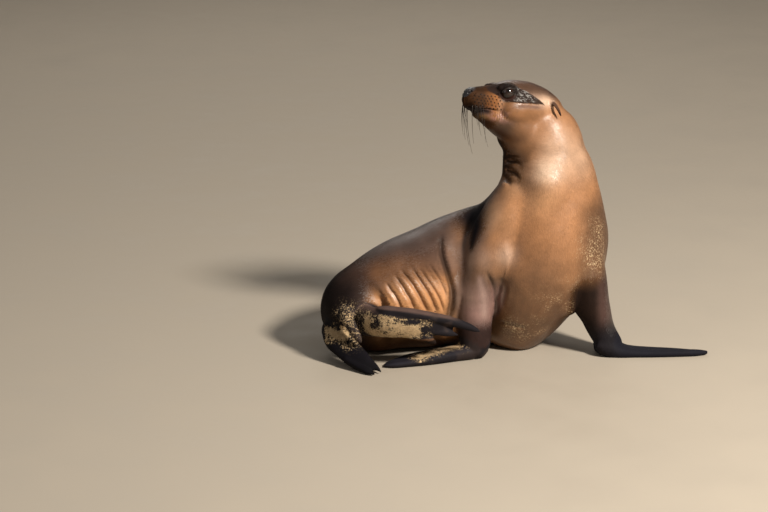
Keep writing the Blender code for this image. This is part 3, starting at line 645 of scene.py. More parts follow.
# each fold: name, points of its line, half-width, depth, lip
FOLDS = [
    ("shoulder", [(-0.152, 0.012, 0.256), (-0.155, -0.023, 0.235), (-0.149, -0.046, 0.208), (-0.139, -0.061, 0.181),
                  (-0.131, -0.070, 0.151), (-0.130, -0.075, 0.126), (-0.134, -0.077, 0.100), (-0.137, -0.077, 0.080)], 0.0062, 0.0085, 0.0002),
    ("flank0", [(-0.288, -0.079, 0.153), (-0.267, -0.093, 0.129), (-0.256, -0.098, 0.112)], 0.0028, 0.0018, 0.0008),
    ("flank1", [(-0.273, -0.076, 0.172), (-0.248, -0.095, 0.138), (-0.232, -0.098, 0.106)], 0.0034, 0.0028, 0.0012),
    ("flank2", [(-0.254, -0.071, 0.186), (-0.227, -0.092, 0.149), (-0.206, -0.094, 0.104)], 0.0038, 0.0034, 0.0014),
    ("flank3", [(-0.244, -0.064, 0.200), (-0.206, -0.088, 0.154), (-0.182, -0.090, 0.102)], 0.0038, 0.0036, 0.0014),
    ("flank4", [(-0.221, -0.060, 0.202), (-0.185, -0.085, 0.153), (-0.161, -0.084, 0.100)], 0.0036, 0.0032, 0.0012),
    ("flank5", [(-0.204, -0.063, 0.197), (-0.168, -0.082, 0.152), (-0.147, -0.079, 0.104)], 0.0028, 0.0026, 0.0010),
    ("flank6", [(-0.183, -0.055, 0.207), (-0.158, -0.073, 0.173), (-0.142, -0.077, 0.134)], 0.0028, 0.0016, 0.0006),
    ("axilla", [(-0.064, -0.080, 0.200), (-0.050, -0.077, 0.168), (-0.042, -0.067, 0.145), (-0.037, -0.049, 0.109),
                (-0.039, -0.035, 0.080)], 0.0046, 0.0046, 0.0008),
    ("axilla2", [(-0.031, -0.064, 0.166), (-0.035, -0.059, 0.136), (-0.037, -0.049, 0.105)], 0.0042, 0.0024, 0.0010),
    ("axilla3", [(-0.016, -0.074, 0.168), (-0.024, -0.066, 0.138), (-0.030, -0.056, 0.108)], 0.0042, 0.0016, 0.0008),
    ("belly", [(-0.040, -0.030, 0.072), (-0.015, -0.047, 0.069), (0.008, -0.056, 0.066), (0.030, -0.058, 0.060)], 0.0050, 0.0018, 0.0004),
    ("neck1", [(-0.024, 0.018, 0.409), (-0.019, 0.002, 0.411), (-0.012, -0.013, 0.413), (-0.002, -0.026, 0.416), (0.008, -0.035, 0.414), (0.018, -0.042, 0.410)], 0.0050, 0.0050, 0.0012),
    ("neck2", [(-0.023, 0.013, 0.391), (-0.015, -0.009, 0.392), (-0.006, -0.023, 0.392), (0.004, -0.034, 0.386), (0.012, -0.042, 0.379)], 0.0052, 0.0052, 0.0012),
    ("neck3", [(-0.025, 0.011, 0.374), (-0.019, -0.010, 0.373), (-0.014, -0.024, 0.368), (-0.006, -0.038, 0.361)], 0.0052, 0.0042, 0.0002),
    ("neck4", [(-0.020, 0.002, 0.426), (-0.010, -0.015, 0.428), (0.002, -0.028, 0.429), (0.012, -0.036, 0.428)], 0.0034, 0.0024, 0.0010),
    ("neck5", [(-0.034, 0.050, 0.444), (-0.030, 0.080, 0.440), (-0.010, 0.108, 0.437)], 0.0046, 0.0030, 0.0016),
    ("neck6", [(-0.030, 0.050, 0.420), (-0.026, 0.082, 0.418), (-0.005, 0.108, 0.416)], 0.0046, 0.0030, 0.0016),
]


def face_lines():
    """Creases of the face, in head coordinates, for the left side; the right side mirrors them."""
    return [
        ("mouth", [(0.1370, 0.000, -0.0275), (0.1330, 0.0130, -0.0290), (0.1210, 0.0220, -0.0290), (0.1064, 0.0262, -0.0290),
                   (0.0950, 0.0290, -0.0295), (0.0830, 0.0320, -0.0290), (0.0700, 0.0370, -0.0275)], 0.0016, 0.0032, 0.0006),
        ("philtrum", [(0.1460, 0.0, -0.0040), (0.1430, 0.0, -0.0140), (0.1370, 0.0, -0.0260)], 0.0012, 0.0022, 0.0006),
        ("nostril", [(0.1370, 0.0150, 0.0080), (0.1405, 0.0120, 0.0040), (0.1440, 0.0085, -0.0010)], 0.0018, 0.0052, 0.0008),
        ("wing", [(0.1310, 0.0185, 0.0060), (0.1350, 0.0190, -0.0030), (0.1400, 0.0140, -0.0085)], 0.0012, 0.0012, 0.0004),
        ("brow", [(0.0860, 0.0220, 0.0235), (0.0740, 0.0290, 0.0290), (0.0600, 0.0340, 0.0300), (0.0460, 0.0400, 0.0270)], 0.0016, 0.0012, 0.0006),
        ("tear", [(0.0900, 0.0300, 0.0060), (0.0830, 0.0330, 0.0060)], 0.0014, 0.0016, 0.0004),
        ("back_of_eye", [(0.0500, 0.0470, 0.0090), (0.0380, 0.0520, 0.0060), (0.0240, 0.0560, 0.0030)], 0.0018, 0.0014, 0.0006),
    ]


def sculpt(skin):
    """Folds, lids, nostrils, mouth, ears and small unevenness.  Returns how deep in a crease, at a lid's edge or in an
    ear's hollow each vertex lies, which the markings paint as shade.
    """
    mesh = skin.data
    p = coords(mesh)
    n = vertex_normals(mesh)
    h = to_head(p)
    move = np.zeros(len(p))
    dark = np.zeros(len(p))

    def crease(line, width, depth, lip, fade=0.22, tint=1.0):
        lo, hi = line.min(0) - width * 7, line.max(0) + width * 7
        ids = np.nonzero(((p > lo) & (p < hi)).all(1))[0]
        if not len(ids):
            return
        line = np.array([p[ids[np.argmin(((p[ids] - s)**2).sum(1))]] for s in line])
        if fade > 0.8:
            line = line[np.linspace(0, len(line) - 1, 5).round().astype(int)]
        d, share, _ = to_line(p[ids], smooth_line(line[::2] if len(line) > 8 else line, 40))
        ends = step(0, min(fade, 0.10) if fade > 0.3 else fade, share) * step(0, fade, 1 - share)
        move[ids] += ends * (-depth * np.exp(-(d / width)**2) + lip * np.exp(-((d - 2.3 * width) / (1.3 * width))**2))
        dark[ids] = np.maximum(dark[ids], tint * ends * np.exp(-(d / (1.0 * width))**2) * min(1.0, depth / 0.003))

    for name, points, width, depth, lip in FOLDS:
        crease(smooth_line(points, 16), width, depth, lip, 0.85 if name[:4] == "neck" else 0.22,
               0.30 if name[:4] == "neck" else 0.45 if name[:4] == "axil" else 0.6 if name[:5] == "flank" else 1.0)
    for name, points, width, depth, lip in face_lines():
        for side in (1, -1):
            pts = [(a, side * b, c) for a, b, c in points]
            crease(from_head(smooth_line(pts, 16)), width, depth, lip,
                   fade=0.40 if name == "mouth" else 0.12 if name == "nostril" else 0.25)

    # upright wrinkles at the corner of the mouth
    corner = np.exp(-((h[:, 0] - 0.076) / 0.018)**2 - ((np.abs(h[:, 1]) - 0.036) / 0.018)**2 - ((h[:, 2] + 0.038) / 0.010)**2)
    move += corner * 0.0007 * np.sin(h[:, 0] * 2 * math.pi / 0.0046 + 4 * cloud(p, 90, 2, 7))

    # finger bones under the fore flippers' skin
    for line, width, height in RIDGES:
        d, share, _ = to_line(p, smooth_line(line, 16))
        near = d < width * 4
        ends = step(0, 0.15, share) * step(0, 0.15, 1 - share)
        move[near] += (ends * height * np.exp(-(d / width)**2))[near]

    # slight unevenness of flesh
    move += 0.0009 * cloud(p, 22, 2, 3) * step(0.02, 0.05, p[:, 2])
    # a shallow hollow round the side of the neck, and broad rolls of flesh under it
    d, share, _ = to_line(p, smooth_line([(0.020, -0.042, 0.434), (0.050, -0.052, 0.434), (0.078, -0.050, 0.440), (0.104, -0.036, 0.450)], 16))
    move -= 0.0022 * step(0, 0.3, share) * step(0, 0.3, 1 - share) * np.exp(-(d / 0.014)**2)
    for centre, radius, height in SWELLS:
        move += height * blob(p, centre, radius)
    d, share, _ = to_line(p, smooth_line([(-0.024, -0.072, 0.262), (-0.019, -0.073, 0.225), (-0.022, -0.070, 0.194), (-0.027, -0.066, 0.172)], 16))
    move += 0.0046 * step(0, 0.3, share) * step(0, 0.2, 1 - share) * np.exp(-(d / 0.011)**2)

    out = p + n * move[:, None]
    # rounded corners between the fore flippers and the body
    pairs = np.empty(len(mesh.edges) * 2, np.int64)
    mesh.edges.foreach_get("vertices", pairs)
    pairs = pairs.reshape(-1, 2)
    for centre, radius in FILLETS:
        mask = np.clip(1.5 * blob(p, centre, radius), 0, 1)
        ids = np.nonzero(mask > 0.03)[0]
        place = np.full(len(p), -1)
        place[ids] = np.arange(len(ids))
        a, b = place[pairs].T
        keep = (a >= 0) & (b >= 0)
        a, b = np.concatenate([a[keep], b[keep]]), np.concatenate([b[keep], a[keep]])
        q, m = out[ids], (0.5 * mask[ids])[:, None]
        count = np.maximum(np.bincount(a, minlength=len(ids)), 1)[:, None]
        for _ in range(90):
            mean = np.stack([np.bincount(a, q[b, k], len(ids)) for k in range(3)], 1) / count
            q = q + m * (mean - q)
        out[ids] = q

    # eyes: lids lie on the ball, the opening drops behind it
    for side in (1, -1):
        c, o, a, b = eye_axes(side)
        q = out - c
        qo, qa, qb = q @ o, q @ a, q @ b
        rho = np.hypot(qa, qb) / EYE_R
        r0 = np.linalg.norm(q, axis=1)
        A, B = qa / EYE_R, qb / EYE_R
        lid = EYE_R + 0.0009 + 0.0006 * step(0.0, 0.5, B)
        w = (1 - step(0.98, 1.62, rho)) * step(-0.1, 0.35, qo / EYE_R) * (h[:, 1] * side > 0)
        up, low = lid_edges(A)
        inside = np.minimum(up - B, B - low) * EYE_R
        r = r0 * (1 - w) + lid * w
        r -= w * 0.0050 * step(-0.0004, 0.0010, inside) * (np.abs(A) < LID_LONG)
        # folds of the lids
        r -= w * 0.0006 * np.exp(-((B - up - 0.26) / 0.10)**2) * step(0, 0.3, LID_LONG - np.abs(A) + 0.2)
        out = np.where((w > 0)[:, None], c + q / np.maximum(r0, 1e-6)[:, None] * r[:, None], out)
        dark = np.maximum(dark, w * step(-0.0022, 0.0, inside))

    # the nose pad stands a little proud
    pad = nose_pad(h)
    out += n * (0.0007 * pad)[:, None]
    # ears: a hollow along the lower face of each
    for side in (1, -1):
        line = from_head([(-0.0325, side * 0.0600, -0.0060), (-0.0380, side * 0.0690, -0.0130), (-0.0430, side * 0.0760, -0.0220)])
        d, share, place = to_line(out, line)
        face = unit(HEAD_R @ np.array([0.62, side * 0.10, -0.60]))
        facing = step(0.1, 0.7, n @ face)
        dent = np.exp(-(d / 0.0048)**2) * facing * (h[:, 1] * side > 0.055) * step(0, 0.1, share)
        out -= face * (0.0042 * dent)[:, None]
        dark = np.maximum(dark, dent)
    out -= n * COAT_DEPTH
    out[:, 2] = np.maximum(out[:, 2], 0.0004)
    put_coords(mesh, out)
    return dark


def nose_pad(h):
    """1 on the bare pad of the nose, 0 elsewhere, from head coordinates."""
    f, l, u = h.T
    edge = ((u - 0.0035) / 0.0125)**2 + (l / 0.0165)**2
    return step(0.1265, 0.1310, f + 0.30 * (u - 0.002)) * (1 - step(0.80, 1.10, edge))


FILLETS = [((0.218, -0.035, 0.026), 0.034), ((0.126, -0.045, 0.096), 0.030)]
SWELLS = [((0.064, -0.057, 0.374), 0.036, 0.0122), ((0.221, -0.036, 0.024), 0.026, 0.0130), ((0.126, -0.043, 0.095), 0.022, 0.0130), ((0.098, -0.040, 0.432), 0.030, 0.0030), ((-0.090, -0.050, 0.262), 0.040, 0.0030),
          ((-0.010, -0.075, 0.190), 0.036, 0.0095)]
O = np.array(ORIGIN)
RIDGES = [
    # right fore flipper: three finger bones behind the leading edge
    ([np.array((-0.150, -0.046, 0.034)) - O, np.array((-0.225, -0.070, 0.022)) - O, np.array((-0.300, -0.100, 0.014)) - O], 0.0050, 0.0012),
    ([np.array((-0.150, -0.036, 0.034)) - O, np.array((-0.220, -0.055, 0.021)) - O, np.array((-0.280, -0.082, 0.014)) - O], 0.0045, 0.0010),
    ([np.array((-0.145, -0.028, 0.032)) - O, np.array((-0.205, -0.040, 0.020)) - O, np.array((-0.255, -0.060, 0.014)) - O], 0.0040, 0.0010),
    # left fore flipper
    ([np.array((0.160, -0.026, 0.018)) - O, np.array((0.240, -0.028, 0.012)) - O, np.array((0.320, -0.030, 0.012)) - O], 0.0050, 0.0010),
    ([np.array((0.160, -0.008, 0.018)) - O, np.array((0.230, -0.012, 0.011)) - O, np.array((0.300, -0.018, 0.011)) - O], 0.0045, 0.0009),
]


def table_of(name):
    """Limb tables again, to know which skin belongs to which limb."""
    return LIMBS[name]


LIMBS = {
    "arm_right": [(-0.130, -0.015, 0.160, 0.056, 0.054, 0.049, 0.049), (-0.138, -0.026, 0.120, 0.046, 0.040, 0.0445, 0.0430),
                  (-0.140, -0.041, 0.078, 0.034, 0.024, 0.041, 0.038), (-0.139, -0.046, 0.045, 0.030, 0.024, 0.037, 0.034),
                  (-0.138, -0.045, 0.010, 0.027, 0.023, 0.032, 0.028)],
    "hand_right": [(-0.124, -0.042, 0.020, 0.026, 0.024, 0.017, 0.020), (-0.185, -0.064, 0.013, 0.034, 0.034, 0.030, 0.030),
                   (-0.265, -0.092, 0.008, 0.034, 0.034, 0.030, 0.030), (-0.332, -0.119, 0.005, 0.016, 0.016, 0.016, 0.016)],
    "arm_left": [(0.100, -0.002, 0.150, 0.051, 0.051, 0.041, 0.040), (0.109, -0.008, 0.108, 0.047, 0.047, 0.037, 0.036),
                 (0.120, -0.012, 0.070, 0.042, 0.042, 0.033, 0.032), (0.142, -0.019, 0.020, 0.032, 0.032, 0.030, 0.030)],
    "hand_left": [(0.124, -0.014, 0.014, 0.032, 0.032, 0.030, 0.030), (0.195, -0.022, 0.006, 0.034, 0.034, 0.034, 0.034),
                  (0.275, -0.028, 0.006, 0.030, 0.030, 0.030, 0.030), (0.352, -0.034, 0.006, 0.014, 0.014, 0.014, 0.014)],
    "foot_right": [(-0.380, -0.068, 0.089, 0.024, 0.024, 0.032, 0.032), (-0.328, -0.124, 0.106, 0.030, 0.030, 0.036, 0.036),
                   (-0.255, -0.130, 0.100, 0.026, 0.026, 0.034, 0.034), (-0.188, -0.118, 0.090, 0.016, 0.016, 0.022, 0.022),
                   (-0.135, -0.105, 0.076, 0.011, 0.011, 0.011, 0.011)],
    "foot_left": [(-0.437, -0.040, 0.064, 0.029, 0.029, 0.026, 0.026), (-0.430, -0.080, 0.050, 0.029, 0.029, 0.026, 0.026),
                  (-0.394, -0.122, 0.028, 0.027, 0.027, 0.022, 0.022), (-0.350, -0.168, 0.008, 0.014, 0.014, 0.014, 0.014)],
    "tail": [(-0.412, -0.076, 0.106, 0.016, 0.016, 0.014, 0.014), (-0.406, -0.108, 0.098, 0.014, 0.014, 0.012, 0.012),
             (-0.382, -0.129, 0.060, 0.010, 0.010, 0.010, 0.010)],
}

TAN = (0.322, 0.147, 0.061)
WARM = (0.250, 0.105, 0.034)
BROWN = (0.125, 0.056, 0.024)
UMBER = (0.060, 0.033, 0.024)
BLACK = (0.012, 0.010, 0.012)
PURPLE = (0.230, 0.130, 0.110)
PINK = (0.290, 0.145, 0.115)
CREAM = (0.540, 0.365, 0.255)
ORANGE = (0.540, 0.250, 0.100)
SHADE_BLACK = (0.012, 0.007, 0.005)
SAND = (0.400, 0.270, 0.140)


def markings(p, n, dark):
    """The animal's colours at any points of its skin or coat, painted highlights and painted shade among them: colour,
    and masks for bare leather, sand and wet gloss.
    """
    h = to_head(p)
    x, y, z = p.T
    f, l, u = h.T
    c = np.tile(np.array(TAN), (len(p), 1))

    def mix(colour, mask):
        nonlocal c
        m = np.clip(mask, 0, 1)[:, None]
        c = c * (1 - m) + np.array(colour) * m

    n1, n2 = cloud(p, 13, 3, 11), cloud(p, 42, 3, 17)
    head = step(-0.085, -0.045, f) * (np.hypot(l, u) < 0.13) * (z > 0.40)
    trunk = step(-0.085, -0.150, x) * (z < 0.34)
    # neck and chest: orange in front, browner behind and low
    mix(BROWN, step(0.005, 0.085, y + 0.03 * n1) * 0.9)
    mix(UMBER, step(0.060, 0.140, y + 0.02 * n1) * 0.6)
    mix((0.090, 0.043, 0.020), step(0.120, 0.165, x + 0.02 * n1) * step(0.37, 0.30, z) * 0.88)
    # painted shade where the neck and chest turn away from the key
    mix((0.085, 0.042, 0.026), step(-0.15, -0.70, n[:, 0]) * step(0.39, 0.33, z) * step(0.10, 0.14, z) * 0.85)
    mix((0.175, 0.082, 0.034), step(0.235, 0.130, z + 0.035 * n1) * (1 - trunk) * 0.85)
    # a painted highlight on the ridge of the chest beside the right shoulder
    mix((0.60, 0.43, 0.33), blob(p, (-0.020, -0.074, 0.230), 0.022) * 0.55)
    mix((0.120, 0.056, 0.022), step(0.110, 0.060, z + 0.02 * n1) * (1 - trunk) * 0.75)
    mix(BROWN, blob(p, (0.030, -0.085, 0.190), 0.050) * 0.55)
    mix(WARM, step(0.40, 0.46, z + 0.02 * n1) * step(0.060, 0.020, x) * 0.5)
    # painted light below the neck's roll, over the shading under it
    mix((0.450, 0.205, 0.085), blob(p, (0.030, -0.062, 0.335), 0.062) * step(0.40, 0.36, z) * 0.8)
    # painted sheen and highlights: cream on the side and back of the neck
    mix(CREAM, blob(p, (0.085, -0.045, 0.440), 0.052) * 0.60)
    mix(CREAM, blob(p, (0.058, -0.058, 0.398), 0.034) * 0.70)
    # more painted light under the neck's folds and roll
    mix((0.430, 0.225, 0.110), np.maximum(1.2 * blob(p, (-0.004, -0.040, 0.376), 0.030), blob(p, (0.050, -0.060, 0.350), 0.036)) * 0.8)
    # painted sheen on the nape
    mix(CREAM, blob(p, (0.135, -0.015, 0.425), 0.045) * 0.45)
    # a painted highlight on the neck's roll
    mix((0.62, 0.46, 0.34), blob(p, (0.064, -0.057, 0.404), 0.021) * 0.60)
    # painted light on the neck's left edge, which turns away from the key
    mix((0.420, 0.240, 0.130), blob(p, (-0.050, -0.040, 0.305), 0.038) * 0.6)
    mix(BROWN, blob(p, (0.105, -0.058, 0.120), 0.045) * 0.6)
    # trunk: dark back, orange flank
    mix(UMBER, trunk)
    flank = trunk * step(0.0, -0.06, y) * step(-0.325, -0.285, x)
    mix((0.150, 0.070, 0.034), flank * step(0.235, 0.185, z + 0.012 * n1) * 0.85)
    mix(ORANGE, flank * step(0.200, 0.150, z + 0.014 * n1 + 0.28 * np.clip(-0.20 - x, 0, 1)) * 0.90)
    mix(BROWN, trunk * step(0.02, 0.10, y) * step(0.20, 0.10, z) * 0.6)
    # painted shade: the rump's near side and lower haunch nearly black
    mix((0.006, 0.004, 0.004), step(-0.275, -0.350, x + 0.012 * n1) * step(0.0, -0.03, y - 0.4 * (z - 0.1)) * step(0.215, 0.145, z) * 0.92)
    # the shoulder, the fold behind it and the hollow above it, with painted shade in the fold and a painted shadow cast
    # into the hollow
    # the shoulder's grey-brown, partly a painted sheen
    mix((0.165, 0.096, 0.066), blob(p, (-0.118, -0.040, 0.215), 0.042) * 1.1)
    # painted shade where the chest meets the right shoulder
    mix(BROWN, blob(p, (-0.085, -0.062, 0.235), 0.030) * 0.5)
    # painted light: a paler band down the right shoulder's front, over the shading of the hollow beside it
    d, share, _ = to_line(p, smooth_line([(-0.092, -0.060, 0.226), (-0.099, -0.065, 0.195), (-0.107, -0.068, 0.160), (-0.110, -0.068, 0.135)], 12))
    mix((0.250, 0.155, 0.105), np.exp(-(d / 0.011)**2) * 0.6)
    # painted shadow cast by the neck on the back, a dark triangle narrowing down towards the shoulder
    mix((0.026, 0.020, 0.019), blob(p, (-0.086, 0.030, 0.288), 0.040) * 1.1)
    d, share, _ = to_line(p, smooth_line([(-0.080, 0.040, 0.290), (-0.079, -0.026, 0.284), (-0.083, -0.045, 0.264), (-0.090, -0.054, 0.240)], 12))
    hollow = np.exp(-(d / np.interp(share, [0, 0.5, 0.75, 1], [0.042, 0.029, 0.018, 0.007]))**2)
    mix((0.008, 0.006, 0.008), hollow)
    # painted shade in the fold behind the right shoulder
    d, share, _ = to_line(p, smooth_line(FOLDS[0][1], 16))
    behind = np.exp(-(d / np.interp(share, [0, 0.4, 1], [0.0060, 0.0070, 0.0095]))**2) * step(0, 0.12, share)
    mix((0.010, 0.006, 0.005), behind * 0.95)
    # a painted highlight on the top of the right arm, by the fold between arm and chest
    mix((0.340, 0.215, 0.155), np.exp(-((x + 0.066) / 0.019)**2 - ((z - 0.222) / 0.026)**2) * step(-0.04, -0.06, y) * 0.65)

    arm_r, arm_l = nearness(p, LIMBS["arm_right"]), nearness(p, LIMBS["arm_left"])
    on_arm_r = (1 - step(1.10, 1.42, arm_r)) * step(0.235, 0.150, z + 0.012 * n1)
    on_arm_l = (1 - step(1.12, 1.32, arm_l)) * step(0.195, 0.145, z + 0.01 * n1)
    mix((0.085, 0.044, 0.026), on_arm_r * 0.9)
    # purplish-brown of the right forearm, partly a painted sheen
    mix(PURPLE, on_arm_r * step(0.175, 0.130, z + 0.012 * n1) * step(-0.128, -0.088, x) * 0.85)
    # painted shade: the left arm and the web between it and the chest nearly black, partly their own dark colour; the
    # arm's purple-brown stays only in a lit strip on its outer side
    web = (1 - step(1.2, 1.75, arm_l)) * step(0.190, 0.150, z + 0.15 * (0.16 - x)) * step(0.095, 0.120, x)
    mix((0.012, 0.007, 0.006), np.maximum(on_arm_l, web * 0.9) * 0.96)
    mix((0.075, 0.042, 0.034), on_arm_l * step(0.01, 0.03, x - 0.155) * step(0.050, 0.090, z) * 0.8)
    mix((0.018, 0.010, 0.009), on_arm_r * step(0.100, 0.062, z + 0.006 * n1) * 0.92)
    # painted shade in the groove along the back of the right arm
    mix((0.020, 0.012, 0.010), on_arm_r * step(0.015, 0.004, np.abs(x + 0.130 + 0.25 * (0.12 - z))) * step(0.15, 0.12, z) * 0.3)
    hand_r = (1 - step(1.10, 1.35, nearness(p, LIMBS["hand_right"]))) * step(0.062, 0.045, z)
    hand_l = (1 - step(1.10, 1.35, nearness(p, LIMBS["hand_left"]))) * step(0.085, 0.045, z)
    foot_r = 1 - step(1.08, 1.35, nearness(p, LIMBS["foot_right"]))
    foot_r *= step(-0.066, -0.086, y)
    foot_l = (1 - step(1.10, 1.35, nearness(p, LIMBS["foot_left"]))) * step(-0.050, -0.064, y)
    tail = (1 - step(1.15, 1.45, nearness(p, LIMBS["tail"]))) * step(-0.078, -0.090, y)
    bare = np.clip(hand_r + hand_l + foot_r + foot_l + tail, 0, 1)
    mix(BLACK, bare)
    # a painted highlight on the upward faces along the right hind flipper's top edge
    mix((0.095, 0.058, 0.048), foot_r * step(0.25, 0.75, n[:, 2]) * step(0.10, 0.115, z) * 0.8)
    mix((0.050, 0.034, 0.029), bare * (1 - 0.8 * np.clip(foot_l + hand_l, 0, 1)) * step(0.1, 0.45, cloud(p, 38, 3, 47)) * 0.45)
    mix((0.014, 0.011, 0.012), on_arm_l * step(0.098, 0.030, z) * 0.92)
    wrist = blob(p, (0.208, -0.060, 0.030), 0.044) * step(0.080, 0.035, z)
    mix(BLACK, 1.4 * wrist)
    # bluish black of the fore flippers, partly a painted reflection of the sky, paler on the right one's upward faces
    mix((0.009, 0.009, 0.014), hand_l * 0.8)
    mix((0.016, 0.015, 0.021), hand_r * step(0.2, 0.8, n[:, 2]) * 0.7)
    # painted shade: the left hind flipper darker than the other flippers' black
    mix((0.004, 0.003, 0.005), foot_l * 0.9)
    # painted shadow on the body under and beside the right hind flipper
    mix((0.010, 0.006, 0.005), step(-0.104, -0.118, y) * step(-0.13, -0.16, x) * (1 - bare))

    # painted sheen, paler in the middle of the right forearm
    mix((0.215, 0.135, 0.098), on_arm_r * blob(p, (-0.102, -0.076, 0.138), 0.024) * 0.7)
    # more painted shade in the lower part of that fold
    mix((0.010, 0.006, 0.005), np.clip(1.3 * behind, 0, 1) * step(0.170, 0.140, z) * 0.95)
    # a painted highlight down the front of the right forearm
    d, share, _ = to_line(p, smooth_line([(-0.074, -0.082, 0.180), (-0.066, -0.080, 0.140), (-0.064, -0.080, 0.096)], 12))
    mix((0.330, 0.215, 0.180), on_arm_r * np.exp(-(d / 0.0085)**2) * step(0.085, 0.105, z) * 0.75)
    shade = step(0.088, 0.066, z) * step(-0.13, -0.16, x) * (1 - bare) * step(0.02, -0.02, y)
    mix((0.014, 0.008, 0.006), shade * 0.8)

    # head
    crown = step(-0.010, 0.022, u + 0.006 * n2) * head
    face = head * step(-0.030, 0.030, f)
    mix(WARM, face * 0.85)
    mix(BROWN, face * step(0.035, 0.075, f) * 0.6)
    mix(BROWN, head * step(0.085, 0.060, f) * step(-0.010, 0.020, f) * step(-0.034, -0.050, u) * 0.65)
    mix((0.190, 0.080, 0.028), head * np.exp(-((f - 0.012) / 0.030)**2 - ((u + 0.036) / 0.022)**2) * 0.55)
    # painted shade: the throat and the neck's front darker where they turn away from the key, over their own dark brown
    throat = step(0.350, 0.388, z) * step(-0.46, -0.88, n[:, 0]) * step(-0.034, -0.060, u)
    mix((0.150, 0.066, 0.024), step(0.385, 0.425, z) * step(-0.15, -0.60, n[:, 0]) * step(-0.034, -0.060, u) * 0.75)
    mix(SHADE_BLACK, throat * 0.92)
    mix((0.056, 0.027, 0.016), crown * 0.92)
    pale = head * np.exp(-((f + 0.016) / 0.024)**2 - ((np.abs(l) - 0.058) / 0.022)**2 - ((u - 0.004) / 0.013)**2)
    mix(CREAM, pale * 0.95)
    muzzle = head * step(0.066, 0.090, f)
    mix((0.019, 0.008, 0.004), muzzle * step(0.002, 0.012, u + 0.0015 * n2) * 0.96)
    mix((0.230, 0.092, 0.031), muzzle * step(0.011, 0.002, u) * step(-0.036, -0.030, u) * 0.92)
    mix((0.480, 0.260, 0.145), muzzle * step(0.086, 0.076, f) * step(0.004, -0.006, u) * 0.8)
    mix((0.055, 0.020, 0.006), muzzle * step(0.088, 0.100, f) * 0.65)
    mix((0.020, 0.009, 0.004), muzzle * step(0.100, 0.116, f) * 0.80)
    mix((0.050, 0.022, 0.010), head * step(0.030, 0.060, f) * step(-0.040, -0.052, u) * 0.85)
    sore = np.exp(-((f - 0.079) / 0.023)**2 - ((np.abs(l) - 0.036) / 0.020)**2 - ((u + 0.038) / 0.013)**2)
    mix(PINK, head * sore * np.clip(0.55 + 1.6 * cloud(p, 150, 3, 19), 0, 1))
    mix((0.200, 0.120, 0.050), head * np.exp(-((f - 0.107) / 0.010)**2 - ((u + 0.045) / 0.006)**2) * 0.6)
    # dark wet patch about each eye, running back to a point, with a paler sheen below it
    along = (0.098 - f) / 0.110
    line_f = [-0.016, -0.012, 0.010, 0.027, 0.050, 0.069, 0.0816, 0.098, 0.108]
    top = np.interp(f, line_f, [-0.004, -0.0015, 0.0100, 0.0185, 0.0275, 0.0300, 0.0300, 0.0280, 0.0220])
    bottom = np.interp(f, line_f, [-0.002, -0.0035, -0.0050, -0.0062, -0.0085, -0.0080, 0.0005, 0.0080, 0.0120])
    under = head * np.exp(-((u - bottom + 0.0060) / 0.0045)**2) * step(-0.020, 0.010, f) * step(0.062, 0.040, f)
    mix((0.150, 0.098, 0.084), under * 0.80)
    edge = 0.0009 * n2
    patch = head * (np.abs(l) > 0.010) * step(-0.0006, 0.0012, np.minimum(top - u, u - bottom) + edge) * step(-0.014, -0.010, f) * step(0.108, 0.100, f)
    mix((0.018, 0.010, 0.008), patch * 0.97)
    speck = patch * step(0.34, 0.42, along) * step(0.86, 0.72, along) * step(0.002, 0.006, u - bottom)
    mix((0.34, 0.325, 0.310), speck * step(0.05, 0.21, cloud(p, 520, 2, 43)) * 0.80)
    for side in (1, -1):
        centre, *_ = eye_axes(side)
        mix((0.007, 0.004, 0.003), step(1.75, 1.25, np.linalg.norm(p - centre, axis=1) / EYE_R) * 0.9)
        mix((0.034, 0.014, 0.010), step(1.45, 1.15, np.linalg.norm(p - centre, axis=1) / EYE_R) * step(-0.002, -0.007, u - EYE_AT[2]) * 0.7)
    pad = nose_pad(h)
    mix(BLACK, pad)
    lips = head * step(0.084, 0.100, f) * np.exp(-((u + 0.032) / 0.0075)**2)
    mix(BLACK, lips * 0.9)
    jaw = head * step(0.080, 0.100, f) * step(-0.046, -0.052, u)
    mix((0.045, 0.022, 0.014), jaw * 0.8)
    # ears
    ear_line = np.array([(-0.034, 0.060, 0.000), (-0.037, 0.0665, -0.006), (-0.041, 0.0735, -0.016), (-0.044, 0.079, -0.025)])
    ear_d, ear_share, _ = to_line(np.stack([f, np.abs(l), u], 1), ear_line)
    ear = (z > 0.40) * (1 - step(0.0080, 0.0108, ear_d)) * step(0.0575, 0.0625, np.abs(l))
    mix((0.042, 0.021, 0.014), ear * 0.92)
    mix(BLACK, ear * step(0.45, 0.9, ear_share) * 0.6)

    # painted shade in the creases, at the lids' edges and in the ears' hollows
    mix((0.010, 0.006, 0.005), dark * 0.60)
    # mottling
    c *= (1 + 0.16 * n2 + 0.10 * n1)[:, None]
    c = np.clip(c, 0.004, 1)

